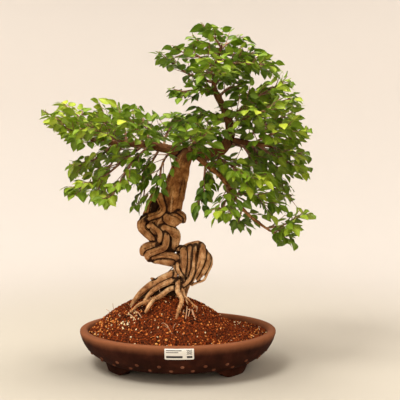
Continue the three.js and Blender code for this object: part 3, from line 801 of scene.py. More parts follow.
@dataclass(frozen=True)
class LabelFinish:
    """White card with plain ruled lines and a small regular check."""

    ink: Colour = srgb(40, 38, 38)
    card: Colour = srgb(236, 233, 226)
    roughness: float = 0.42
    relief_depth: float = 0.04
    cells: float = 11.0
    check: tuple[Pair, Pair] = ((30 / 11, 5 / 11), (37 / 11, 10 / 11))
    lines: tuple[tuple[Pair, Pair], ...] = (
        ((0.2, 0.78), (2.1, 0.86)), ((0.2, 0.62), (1.7, 0.68)), ((0.2, 0.14), (2.2, 0.34)),
        ((2.73, 0.14), (3.4, 0.34)),
    )

    def material(self) -> Material:
        """Makes the material."""
        g = Graph("label")
        u, v = g.number("label_u"), g.number("label_v")

        def oblong(low: Pair, high: Pair) -> Signal:
            """Gives 1 between two corners on the label's face."""
            return (u > low[0]) * (1.0 - (u > high[0])) * ((v > low[1]) * (1.0 - (v > high[1])))

        odd = ((u * self.cells).wrapped("FLOOR") + (v * self.cells).wrapped("FLOOR")) * 0.5
        ink = (odd.wrapped("FRACT") > 0.25) * oblong(*self.check)
        for low, high in self.lines:
            ink = ink + oblong(low, high)
        normal = g.bump(g.cloud(4, 2), self.relief_depth)
        return g.finished(g.mix(ink, self.card, self.ink), self.roughness, Normal=normal)


# The wood


KNOT_STRANDS: list[Route] = [
    [[-34, 306, -8, 8], [-29, 292, -12, 7], [-25, 281, -13, 6.5], [-30, 272, -12, 6.5], [-46, 266, -6, 6.5],
     [-65, 262, 0, 7]],
    [[-42, 306, 2, 6], [-51, 292, 5, 5.5], [-54, 280, 5, 5.5], [-60, 267, 3, 6]],
    [[-14, 282, -8, 7], [0, 273, -10, 6.5], [10, 266, -8, 6], [8, 256, -4, 6]],
    [[-24, 271, -2, 12], [-14, 264, -6, 15], [-5, 260, -6, 16], [0, 257, -4, 11]],
    [[-58, 264, -2, 7.5], [-66, 256, -2, 7.5], [-66, 246, -3, 7.5], [-57, 235, -5, 7], [-46, 225, -6, 6.5],
     [-40, 218, -5, 6]],
    [[-54, 247, -8, 4], [-50, 251, -10, 4.5], [-38, 243, -12, 5], [-32, 234, -13, 5], [-34, 222, -12, 5],
     [-38, 212, -9, 4.5]],
    [[-40, 251, -4, 7], [-28, 247, -7, 8], [-13, 242, -8, 9.5], [-4, 235, -7, 9], [-3, 225, -4, 8],
     [-7, 211, 0, 7]],
    [[-34, 229, -6, 6.5], [-37, 218, -8, 7], [-52, 213, -6, 8], [-62, 208, -3, 7.5], [-62, 197, 0, 6.5]],
    [[-22, 238, -8, 6], [-21, 222, -13, 6], [-24, 211, -15, 6], [-42, 203, -12, 6.5], [-54, 197, -8, 7],
     [-50, 186, -3, 6]],
    [[-50, 189, -4, 6], [-38, 195, -8, 5.5], [-22, 197, -10, 5.5], [-5, 194, -10, 5.5], [3, 186, -9, 5]],
    [[-47, 187, -1, 6], [-28, 187, -3, 7.5], [-12, 186, -3, 7.5], [2, 183, -2, 7]],
    [[-44, 189, 6, 7], [-26, 186, 8, 8.5], [-8, 183, 8, 9], [8, 182, 6, 9]],
    [[-30, 212, 8, 9], [-14, 210, 9, 7], [-2, 208, 4, 7], [10, 207, -1, 8]],
    [[-12, 290, 2, 16], [-22, 270, 4, 18], [-34, 251, 5, 19], [-30, 228, 4, 14], [-38, 206, 5, 13],
     [-40, 192, 5, 10]],
]

FIST_STRANDS: list[Route] = [
    [[2, 205, -2, 7], [14, 208, -5, 8], [28, 212, -6, 8.5], [40, 213, -5, 9], [46, 203, -4, 7.5],
     [47, 190, -3, 6]],
    [[10, 207, -11, 6.5], [11, 195, -14, 6.5], [11, 178, -13, 6.2], [11, 162, -9, 5.6], [8, 148, -5, 5]],
    [[22, 210, -11, 6], [23, 196, -14, 5.5], [20, 176, -12, 5], [15, 160, -8, 5]],
    [[32, 212, -11, 5.2], [27, 198, -14, 5], [27, 182, -14, 4.8], [27, 165, -12, 4.8], [20, 149, -10, 4.8],
     [6, 138, -10, 4.5]],
    [[43, 214, -9, 6.5], [45, 200, -12, 6.5], [42, 184, -12, 6.4], [34, 166, -9, 6], [25, 152, -7, 5.6],
     [12, 141, -6, 5]],
    [[49, 206, -4, 5], [55, 192, -5, 5], [52, 178, -6, 5.2], [44, 163, -6, 4.6], [35, 152, -4, 4]],
    [[50, 206, -2, 2.6], [60, 194, -2, 2.4], [61, 180, -3, 2.4], [53, 163, -4, 2.4], [47, 151, -6, 2.4],
     [36, 147, -5, 2.4], [24, 142, -3, 3]],
    [[3, 188, -9, 4], [-1, 177, -12, 3.8], [1, 167, -14, 3.6], [9, 158, -12, 3.6], [10, 148, -8, 3.6]],
    [[-3, 182, -5, 4.6], [-4, 168, -8, 4.6], [-5, 154, -9, 4.4], [-10, 146, -8, 4.2]],
    [[14, 206, 8, 8], [18, 190, 14, 7.5], [16, 165, 15, 6.5], [8, 138, 14, 6.5], [2, 112, 17, 6]],
    [[34, 207, 6, 8], [38, 190, 12, 7], [29, 165, 15, 6], [16, 140, 18, 5.5], [8, 108, 26, 4.5]],
    [[6, 200, 1, 10], [10, 178, 2, 11], [9, 155, 2, 10], [4, 130, 3, 9], [2, 106, 4, 8]],
]

# Old wood in the shade behind the strands, which fills the knot and the space between the roots; its skin is
# painted fully dark as shade.
HEART_STRANDS: list[Route] = [
    [[-26, 300, 6, 8], [-40, 290, 8, 9], [-44, 276, 8, 9], [-54, 254, 10, 9], [-42, 232, 10, 8]],
    [[-6, 244, 6, 8], [-14, 228, 6, 10], [-14, 206, 6, 10], [-20, 190, 8, 8]],
    [[-2, 152, 6, 9], [-24, 140, 10, 9.5], [-44, 131, 8, 9], [-60, 121, 4, 7.5], [-76, 104, 0, 4]],
    [[2, 136, 4, 9], [-16, 128, 6, 9], [-36, 120, 4, 7], [-52, 106, 0, 5]],
]

ROOTS: list[Route] = [
    [[0, 168, -4, 6], [-12, 162, -5, 6.6], [-32, 152, -8, 6.5], [-52, 141, -13, 5.8], [-70, 125, -18, 5],
     [-80, 111, -17, 4.2], [-90, 92, -16, 3]],
    [[-36, 151, -9, 3], [-49, 154, -13, 2.4]],
    [[-4, 153, -8, 5], [-20, 146, -14, 4.6], [-38, 137, -20, 4.6], [-54, 122, -24, 4], [-66, 102, -28, 2.8]],
    [[6, 138, -10, 4.4], [-14, 135, -18, 4.3], [-32, 122, -26, 4.2], [-50, 114, -36, 3.8],
     [-70, 107, -44, 2.8], [-86, 92, -48, 1.8]],
    [[-40, 118, -37, 2.8], [-45, 114, -47, 3.2], [-52, 105, -59, 3.4], [-59, 92, -69, 2.4]],
    [[1, 150, -8, 4.6], [-1, 132, -22, 4.5], [7, 116, -38, 4], [2, 98, -54, 3.5], [-6, 72, -74, 2.2]],
    [[7, 126, -24, 1.6], [19, 116, -34, 1.4], [34, 100, -46, 1.3]],
    [[5, 144, -8, 3.8], [8, 132, -15, 3.2], [13, 120, -20, 2.2], [18, 106, -24, 1.6]],
    [[-8, 150, 8, 5.6], [-30, 140, 20, 5.4], [-54, 124, 32, 4.6], [-78, 104, 42, 3.4]],
    [[4, 136, 14, 5], [8, 118, 32, 4.4], [18, 100, 50, 3.6], [30, 76, 66, 2.6]],
    [[2, 130, 12, 5.5], [-6, 122, 34, 5], [-14, 110, 56, 4]],
]

TRUNK_ROUTE: Route = [
    [-13, 262, 0, 13], [-11, 282, -2, 17.5], [-8, 302, -2, 20], [-4, 322, -2, 20], [2, 342, -2, 18],
    [8, 364, -2, 15.5], [16, 380, -3, 14.5], [36, 382, -5, 13], [56, 379, -6, 12.2], [74, 384, -6, 11.2],
    [90, 402, -7, 9.8], [95, 424, -8, 8.4], [89, 448, -10, 7], [78, 472, -12, 6.2], [66, 498, -14, 5.2],
    [69, 526, -16, 4.4], [73, 556, -18, 3.4], [79, 576, -19, 2.6],
]

BRANCHES: list[Route] = [
    [[6, 382, -3, 10], [-14, 387, -5, 8.8], [-44, 393, -8, 7.4], [-84, 398, -8, 6.4], [-122, 401, -6, 5.2],
     [-157, 404, -4, 3.2]],
    [[90, 406, -7, 6], [112, 402, -14, 5.2], [140, 397, -21, 4.2], [172, 394, -28, 3]],
    [[26, 384, -6, 6], [50, 361, -20, 4.8], [72, 344, -29, 4.3], [88, 325, -35, 4], [103, 300, -41, 3.6],
     [122, 275, -45, 3.1], [146, 255, -48, 2.6], [168, 239, -50, 2]],
]


def wood_limbs() -> list[Limb]:
    """Gives every limb of the trunk, strands, roots and branches, in the order they were grown."""
    routes = [TRUNK_ROUTE, *KNOT_STRANDS, *FIST_STRANDS, *ROOTS, *BRANCHES, *HEART_STRANDS]
    return [Limb.along(route) for route in routes]


@dataclass
class Trunk:
    """Trunk, grown-together strands, roots and main branches as one skin with flutes along each strand."""

    limbs: list[Limb]
    sides: int = 14
    section: float = 4
    voxel: float = 1.3
    relax_share: float = 0.5
    relax_rounds: int = 3
    least_radius: float = 1.7
    flute: float = 0.085
    flute_depth: Pair = (0.12, 1.5)
    flute_radius: float = 7
    swell_size: float = 11
    swell_share: float = 0.7
    grit_size: float = 2.6
    grit_depth: float = 0.22
    crease_depth: float = 1.1
    crease_width: float = 1.9
    valley_start: float = 0.15
    valley_grit: float = 0.4
    valley_shade_share: float = 0.75
    ridge_grit: float = 0.3
    probe_spacing: float = 2.5
    wander: Pair = (0.9, 0.05)
    stretch: Pair = (0.6, 2.2)
    seed: int = 71

    # How many flutes run round a strand, how strong they are and how they twist along it.
    FLUTES = ((3, 0.34, 0.02), (5, 0.4, -0.03), (9, 0.26, 0.045))

    def _joined(self) -> Object:
        """Joins the limbs' tubes in one even skin."""
        shape = Shape()
        for limb in self.limbs:
            shape.add(*tube(limb, self.sides, self.section, self.least_radius))
        skin = shape.build("trunk_wood", [])
        remesh = skin.modifiers.new("skin", "REMESH")
        remesh.mode = "VOXEL"
        remesh.voxel_size = self.voxel * MM
        relax = skin.modifiers.new("relax", "SMOOTH")
        relax.factor = self.relax_share
        relax.iterations = self.relax_rounds
        return applied(skin)

    def _nearest(self, points: Array) -> dict[str, Array]:
        """Finds the strand that each point belongs to.

        Args:
            points: The skin's points in millimetres.

        Returns:
            For each point the strand's number, radius, angle round it and place along it, and how much
            farther off the next strand is.
        """
        count = len(points)
        best, second = np.full(count, 1e9), np.full(count, 1e9)
        number = np.zeros(count, dtype=int)
        rows = {key: np.zeros(count) for key in ("radius", "angle", "place")}
        for index, limb in enumerate(self.limbs):
            parts = np.linspace(0, 1, max(4, round(limb.length / self.probe_spacing)))
            centres, radii = limb.point(parts), np.maximum(limb.radius(parts), self.least_radius)
            first, other = limb.frames(parts)
            gaps = np.linalg.norm(points[:, None] - centres[None], axis=2) - radii[None]
            nearest = np.argmin(gaps, axis=1)
            gap = gaps[np.arange(count), nearest]
            wins = gap < best
            second = np.where(wins, best, np.minimum(second, gap))
            best = np.where(wins, gap, best)
            offset = points - centres[nearest]
            sine, cosine = (np.sum(offset * way[nearest], axis=1) for way in (other, first))
            angle = np.arctan2(sine, cosine)
            number[wins] = index
            rows["radius"][wins] = radii[nearest][wins]
            rows["angle"][wins] = angle[wins]
            rows["place"][wins] = (parts[nearest] * limb.length)[wins]
        return {"number": number, "margin": second - best, **rows}

    def _flutes(self, near: dict[str, Array]) -> Array:
        """Gives ridges and grooves that run along the strands, from -1 to 1."""
        draws = np.random.default_rng(self.seed).uniform(0, 2 * math.pi, (len(self.limbs), 6))
        phases = draws[near["number"]]
        angle, place = near["angle"], near["place"]
        stretch = np.clip(near["radius"] / self.flute_radius, *self.stretch)
        swing, rate = self.wander
        total = np.zeros(len(angle))
        for i, (lobes, weight, twist) in enumerate(self.FLUTES):
            wander = swing * np.sin(place * rate / stretch + phases[:, i + 3])
            turns = np.round(lobes * stretch**0.5) * angle
            total += weight * np.sin(turns + phases[:, i] + twist * place + wander)
        return total

    def build(self) -> None:
        """Makes the piece."""
        skin = self._joined()
        mesh = skin.data
        points = np.empty(len(mesh.vertices) * 3)
        normals = np.empty(len(mesh.vertices) * 3)
        mesh.vertices.foreach_get("co", points)
        mesh.vertices.foreach_get("normal", normals)
        points = (points.reshape(-1, 3) - pot_middle()) / MM
        near = self._nearest(points)
        flutes = self._flutes(near)
        crease = np.exp(-((near["margin"] / self.crease_width) ** 2))
        swell = np.array([noise.noise(Vector(p) / self.swell_size) for p in points])
        grit = np.array([noise.noise(Vector(p) / self.grit_size) for p in points])
        depth = np.clip(near["radius"] * self.flute, *self.flute_depth)
        lift = depth * (flutes + self.swell_share * swell) + self.grit_depth * grit
        points += normals.reshape(-1, 3) * (lift - self.crease_depth * crease)[:, None]
        mesh.vertices.foreach_set("co", (points * MM + pot_middle()).ravel())
        # Painted shade: the skin is darkened in the flute valleys, where strands meet and all over the heart
        # strands, as shade falls there.
        valley_shade = np.clip(-flutes - self.valley_start - self.valley_grit * grit, 0, 1)
        shaded = near["number"] >= len(self.limbs) - len(HEART_STRANDS)
        painted_shade = np.clip(crease + self.valley_shade_share * valley_shade + shaded, 0, 1)
        ridges = np.clip(flutes + self.ridge_grit * grit, 0, 1)
        load_numbers(mesh, {"crease": painted_shade, "ridge": ridges})
        shade(mesh)
        mesh.materials.append(BarkFinish().material())
        mesh.update()
        handed_over(skin, "wood", "trunk")


# The foliage


SPRAY_ROUTES: list[Route] = [
    [[-119, 402, -6, 2.6], [-124, 424, 0, 2], [-135, 454, 8, 1.2]],
    [[-150, 404, -4, 2.6], [-184, 422, -12, 2], [-226, 446, -18, 1.2]],
    [[-140, 402, -5, 2.4], [-168, 412, -30, 1.9], [-202, 426, -56, 1.2]],
    [[-104, 400, -8, 2.6], [-120, 410, -44, 2], [-152, 426, -84, 1.2]],
    [[-62, 396, -8, 2.6], [-66, 412, -40, 2], [-80, 434, -80, 1.2]],
    [[-84, 398, -6, 2.6], [-104, 416, 30, 2], [-138, 436, 74, 1.2]],
    [[-136, 402, -4, 2.4], [-160, 430, 22, 1.9], [-190, 456, 48, 1.2]],
    [[-92, 400, -8, 2.6], [-97, 424, -6, 2], [-103, 450, 2, 1.2]],
    [[-26, 390, -6, 2.6], [-22, 412, 10, 2], [-12, 434, 32, 1.2]],
    [[-62, 396, -8, 2.8], [-100, 366, -28, 2.2], [-138, 336, -42, 1.7], [-178, 318, -50, 1.1]],
    [[-112, 401, -6, 2.4], [-138, 378, 4, 1.9], [-174, 358, 16, 1.2]],
    [[-98, 399, -6, 2.6], [-118, 366, 32, 2], [-142, 318, 60, 1.2]],
    [[-32, 391, -7, 2.4], [-50, 358, -20, 2], [-59, 326, -28, 1.6], [-62, 300, -33, 1.2]],
    [[-52, 394, -8, 2.6], [-84, 362, -48, 2], [-118, 306, -74, 1.2]],
    [[70, 488, -13, 2.8], [42, 495, -22, 2.2], [4, 492, -34, 1.2]],
    [[67, 508, -14, 2.8], [28, 520, -4, 2.2], [-28, 556, 8, 1.2]],
    [[70, 536, -17, 2.4], [46, 552, -30, 1.9], [8, 564, -46, 1.2]],
    [[69, 530, -16, 2.8], [100, 543, -28, 2.2], [146, 541, -42, 1.2]],
    [[72, 552, -17, 2.4], [94, 560, -8, 1.9], [120, 558, 8, 1.2]],
    [[74, 484, -12, 2.8], [100, 501, 4, 2.3], [134, 483, 20, 1.8], [170, 494, 28, 1.2]],
    [[66, 502, -14, 2.8], [76, 515, 28, 2.1], [98, 530, 72, 1.2]],
    [[67, 516, -15, 2.8], [60, 524, -50, 2.1], [64, 534, -88, 1.2]],
    [[78, 572, -19, 1.9], [68, 588, -24, 1.6], [52, 602, -26, 1.1]],
    [[76, 566, -18, 2], [88, 578, -8, 1.6], [102, 584, 4, 1.1]],
    [[72, 548, -18, 2.4], [102, 548, 20, 1.9], [146, 536, 54, 1.2]],
    [[92, 440, -10, 2.8], [130, 474, -28, 2.1], [184, 506, -44, 1.2]],
    [[160, 395, -26, 2.6], [188, 402, -34, 1.9], [214, 414, -42, 1.2]],
    [[136, 398, -20, 2.6], [158, 410, -54, 2], [192, 424, -88, 1.2]],
    [[120, 401, -17, 2.6], [148, 426, -8, 2], [190, 446, 6, 1.2]],
    [[92, 400, -6, 2.8], [126, 391, 32, 2.1], [180, 384, 72, 1.2]],
    [[142, 397, -23, 2.5], [178, 374, -20, 1.9], [216, 354, -16, 1.2]],
    [[112, 402, -14, 2.6], [142, 362, -4, 2.1], [172, 318, 4, 1.2]],
    [[94, 426, -8, 2.8], [116, 442, -44, 2.1], [156, 458, -86, 1.2]],
    [[92, 444, -10, 2.8], [118, 458, 28, 2.1], [162, 468, 68, 1.2]],
    [[60, 379, -6, 2.8], [88, 364, -44, 2.1], [128, 337, -82, 1.2]],
    [[46, 380, -5, 2.8], [74, 358, 34, 2.1], [122, 326, 76, 1.2]],
    [[20, 383, -5, 2.8], [24, 396, -46, 2.1], [42, 408, -88, 1.2]],
    [[36, 382, -5, 2.8], [28, 402, 32, 2.1], [10, 426, 78, 1.2]],
    [[88, 450, -10, 2.6], [58, 450, -20, 2], [16, 440, -34, 1.2]],
    [[50, 361, -20, 2.4], [47, 332, -26, 1.9], [38, 298, -35, 1.2]],
    [[88, 325, -35, 2.4], [90, 304, -56, 1.8], [80, 282, -76, 1.2]],
    [[116, 282, -44, 2.2], [114, 272, -30, 1.7], [111, 260, -16, 1.1]],
    [[164, 242, -50, 1.9], [176, 236, -53, 1.6], [190, 230, -56, 1.1]],
    [[160, 245, -50, 1.8], [188, 250, -57, 1.5], [214, 262, -62, 1.1]],
    [[98, 309, -40, 2.4], [132, 304, -50, 1.8], [160, 290, -60, 1.2]],
    # Further stems in every tier.
    [[-52, 394, -8, 2.6], [-56, 420, 8, 2], [-66, 446, 18, 1.2]],
    [[-12, 387, -5, 2.4], [-28, 362, -34, 2], [-36, 322, -50, 1.2]],
    [[73, 556, -18, 2.2], [58, 572, -6, 1.7], [38, 582, 8, 1.1]],
    [[95, 430, -8, 2.6], [150, 462, 10, 2], [198, 478, 24, 1.2]],
    [[92, 410, -8, 2.6], [76, 418, -40, 2], [48, 424, -66, 1.2]],
    [[130, 399, -19, 2.4], [168, 352, 30, 1.9], [196, 308, 44, 1.2]],
    [[153, 396, -25, 2.2], [186, 388, 10, 1.8], [218, 380, 24, 1.2]],
]


CROWN_OUTLINE = np.array([
    [-257, 443], [-228, 472], [-200, 484], [-130, 482], [-92, 478], [-66, 470], [-20, 455],
    [8, 462], [-30, 483], [-24, 500], [16, 514], [10, 530], [-24, 532], [-60, 544], [-54, 564],
    [8, 582], [22, 604], [44, 619], [112, 609],
    [136, 582], [194, 551], [202, 514], [224, 502], [236, 460], [229, 432], [252, 420], [250, 405],
    [226, 396], [242, 377], [240, 362], [250, 346], [238, 326], [214, 321], [204, 281], [190, 263],
    [206, 276], [252, 278], [252, 256], [219, 228], [218, 202], [176, 203], [158, 226], [96, 232],
    [28, 252], [16, 286],
    [-8, 284], [-34, 286], [-60, 262], [-84, 264], [-128, 272], [-198, 282], [-220, 312],
    [-212, 338], [-202, 390], [-224, 412],
], dtype=float)

# Places in the outline where the background shows through: left, low, right, high.
CROWN_GAPS = np.array([
    [-46, 338, -12, 380], [-128, 322, -102, 362], [22, 322, 42, 350], [102, 371, 128, 383],
], dtype=float)


def within_crown(points: Array) -> bool:
    """Tells whether points all lie in the crown's outline and in none of its gaps, seen from the front."""
    reach = -EYE[1] / (points[:, 1] - EYE[1])
    across, up = ((EYE[k] + (points[:, k] - EYE[k]) * reach)[:, None] for k in (0, 2))
    start, end = CROWN_OUTLINE, np.roll(CROWN_OUTLINE, -1, axis=0)
    with np.errstate(divide="ignore", invalid="ignore"):
        share = (up - start[:, 1]) / (end[:, 1] - start[:, 1])
    passed = (start[:, 1] > up) != (end[:, 1] > up)
    passed = passed & (across < start[:, 0] + share * (end[:, 0] - start[:, 0]))
    left, low, right, high = CROWN_GAPS.T
    in_gap = (across > left) & (across < right) & (up > low) & (up < high)
    return bool(np.all(passed.sum(axis=1) % 2 == 1) and not in_gap.any())


BEAD_SPACING = 3


@dataclass
class Leaf:
    """A leaf's place: its stalk's root, its three directions and its size."""

    root: Array
    along: Array
    across: Array
    length: float
    width: float

    # How many numbers a leaf's row holds.
    NUMBERS = 14

    @property
    def face(self) -> Array:
        """The direction that the upper side looks in."""
        return np.cross(self.along, self.across)

    @property
    def row(self) -> Array:
        """The leaf as one row of numbers."""
        return np.array([*self.root, *self.along, *self.across, *self.face, self.length, self.width])

    @property
    def reach(self) -> Array:
        """The middle and the tip of the blade."""
        return self.root + self.along * self.length * np.array([[0.5], [1.0]])


@dataclass
class Twig:
    """A straight leafy twig: its root, its three directions, its length and its leaves."""

    root: Array
    along: Array
    across: Array
    length: float
    leaves: list[Leaf] = field(default_factory=list)

    RADIUS = 0.9

    @property
    def face(self) -> Array:
        """The direction that its leaves' upper sides look in."""
        return np.cross(self.along, self.across)

    @property
    def beads(self) -> Array:
        """Points and radii that stand for it."""
        count = math.ceil(self.length / BEAD_SPACING)
        reach = self.length * np.arange(1, count + 1)[:, None] / count
        return np.column_stack([self.root + self.along * reach, np.full(count, self.RADIUS)])


@dataclass(frozen=True)
class Site:
    """A place on a stem where a leaf or a twig grows."""

    point: Array
    heading: Array
    turn: float
    part: float


class Crown:
    """Every leaf and stem that is placed so far, for keeping the next ones clear of them."""

    # Points that stand for a blade, as shares of its length and of its width.
    PROBES = np.array([
        [0.32, 0.43], [0.64, 0.37], [1, 0], [0.64, -0.37], [0.32, -0.43], [0.16, 0.22], [0.16, -0.22],
        [0.3, 0], [0.5, 0], [0.75, 0], [0.82, 0.2], [0.82, -0.2], [0.48, 0.42], [0.48, -0.42],
    ])
    REACH = 60.0
    MOST = 8192

    def __init__(self) -> None:
        """Starts empty."""
        self.count = 0
        self.rows = np.empty((self.MOST, Leaf.NUMBERS))

    def add(self, leaf: Leaf) -> None:
        """Keeps a leaf."""
        self.rows[self.count] = leaf.row
        self.count += 1

    @staticmethod
    def _inside(rows: Array, points: Array, margin: Any) -> Array:
        """Tells which points lie in or near which leaves.

        Args:
            rows: Leaves, one a row.
            points: Points, as rows for every leaf or as one set for each.
            margin: How near counts.

        Returns:
            A table of truths, leaves by points.
        """
        root, along, across, face = (rows[:, None, k : k + 3] for k in (0, 3, 6, 9))
        half_length, half_width = rows[:, 12, None] / 2, rows[:, 13, None] / 2
        offset = points - (root + along * half_length[..., None])
        far = np.abs(np.sum(offset * face, axis=2))
        reach = (np.sum(offset * along, axis=2) / (half_length + margin)) ** 2
        reach = reach + (np.sum(offset * across, axis=2) / (half_width + margin)) ** 2
        return (far < margin) & (reach < 1.05)

    @classmethod
    def _probes(cls, rows: Array) -> Array:
        """Gives the points that stand for each leaf's blade."""
        parts, sides = cls.PROBES[None, :, 0, None], cls.PROBES[None, :, 1, None]
        root, along, across = (rows[:, None, k : k + 3] for k in (0, 3, 6))
        return root + along * parts * rows[:, 12, None, None] + across * sides * rows[:, 13, None, None]

    @classmethod
    def _near(cls, rows: Array, point: Array, reaches: int = 1) -> Array:
        """Gives the rows, which each start with a place, that lie within so many reaches of a point."""
        return rows[np.sum((rows[:, :3] - point) ** 2, axis=1) < (reaches * cls.REACH) ** 2]

    @classmethod
    def meet(cls, rows: Array, leaf: Leaf, margin: float) -> bool:
        """Tells whether a leaf comes near any leaf of a table.

        Args:
            rows: The table, one leaf a row.
            leaf: The leaf.
            margin: How near counts.

        Returns:
            True if it does.
        """
        near = cls._near(rows, leaf.root)
        if not len(near):
            return False
        own = leaf.row[None]
        if cls._inside(near, cls._probes(own), margin).any():
            return True
        return bool(cls._inside(own, cls._probes(near).reshape(1, -1, 3), margin).any())

    @classmethod
    def on_beads(cls, leaf: Leaf, beads: Array, margin: float) -> bool:
        """Tells whether a leaf comes near any of the beads that stand for limbs."""
        near = cls._near(beads, leaf.root)
        hits = cls._inside(leaf.row[None], near[None, :, :3], near[None, :, 3] + margin)
        return bool(hits.any())

    def crosses(self, leaf: Leaf, beads: Array, clearance: float) -> bool:
        """Tells whether a leaf would cross a placed one or a limb.

        Args:
            leaf: The leaf.
            beads: Points and radii that stand for the limbs.
            clearance: How far it has to stay off.

        Returns:
            True if it would.
        """
        if self.on_beads(leaf, beads, clearance / 2):
            return True
        return self.meet(self.rows[: self.count], leaf, clearance)

    def crossed_by(self, beads: Array) -> bool:
        """Tells whether a twig, given by its beads, would pass through a placed leaf."""
        near = self._near(self.rows[: self.count], beads[0, :3], 2)
        return bool(self._inside(near, beads[None, :, :3], beads[None, :, 3]).any())


def beads_of(limb: Limb) -> Array:
    """Gives points and radii along a limb, close enough to stand for it."""
    count = math.ceil(limb.length / BEAD_SPACING)
    parts = np.arange(count + 1) / count
    return np.column_stack([limb.point(parts), limb.radius(parts)])


class Blade:
    """The pattern that every leaf's mesh is bent from: toothed edges round a folded, arched blade."""

    TEETH = 7
    START = 0.1
    THICKNESS = 0.22
    ARCH = 0.07
    FOLD = 0.14
    WAVE = 0.03
    WAVE_RATE = 11
    TOOTH_TIP = 0.82
    TOOTH_OUT = 1.05
    NOTCH_IN = 0.97
    SKEW = 0.72
    FULLNESS = 0.85
    TIP_PINCH = 0.3

    def __init__(self) -> None:
        """Works out the pattern's points and faces."""
        count = self.TEETH
        parts = np.linspace(self.START, 1, count + 1)
        step = parts[1] - parts[0]
        edges = []
        for sign in (1, -1):
            edge = []
            for part in parts[:-1]:
                edge.append((part, sign * self._half(part) * self.NOTCH_IN))
                tip = part + step * self.TOOTH_TIP
                edge.append((tip, sign * self._half(tip) * self.TOOTH_OUT))
            edges.append(edge[1:])
        outline = [*((part, 0.0) for part in parts), *edges[0], *edges[1]]
        first_left, first_right = count + 1, count + 1 + len(edges[0])
        faces = []
        for base, step_back in ((first_left, -1), (first_right, 1)):
            for k in range(count):
                notch = 0 if k == 0 else base + 2 * k - 1
                after = count if k == count - 1 else base + 2 * k + 1
                corners = list(dict.fromkeys([k, k + 1, after, base + 2 * k, notch]))
                faces.append(corners[::step_back])
        size = len(outline)
        ring = [0, *range(first_left, first_right), count, *range(size - 1, first_right - 1, -1)]
        under = [[corner + size for corner in face[::-1]] for face in faces]
        walls = [[a, b, b + size, a + size] for a, b in zip(ring, ring[1:] + ring[:1])]
        self.faces = [*faces, *under, *walls]
        self.parts, self.sides = np.array(outline * 2).T
        self.under = np.repeat([0.0, 1.0], size)

    @classmethod
    def _half(cls, part: float) -> float:
        """Gives half the blade's width at a share of its length."""
        share = (part - cls.START) / (1 - cls.START)
        return 0.5 * math.sin(math.pi * share**cls.SKEW) ** cls.FULLNESS * (1 - cls.TIP_PINCH * share**5)

    def points(self, leaf: Leaf, wave: float) -> Array:
        """Bends the pattern to a leaf.

        Args:
            leaf: The leaf.
            wave: Where its edge's waves start.

        Returns:
            The blade's points.
        """
        p, s = self.parts, self.sides
        height = leaf.length * self.ARCH * (4 * p * (1 - p) - 0.5 * p)
        height = height + self.FOLD * leaf.width * np.abs(s)
        waves = np.sin(p * self.WAVE_RATE + wave + np.sign(s))
        height = height + self.WAVE * leaf.length * np.abs(s) * waves
        height = height - self.under * self.THICKNESS
        along, across = leaf.along * (p * leaf.length)[:, None], leaf.across * (s * leaf.width)[:, None]
        return leaf.root + along + across + leaf.face * height[:, None]


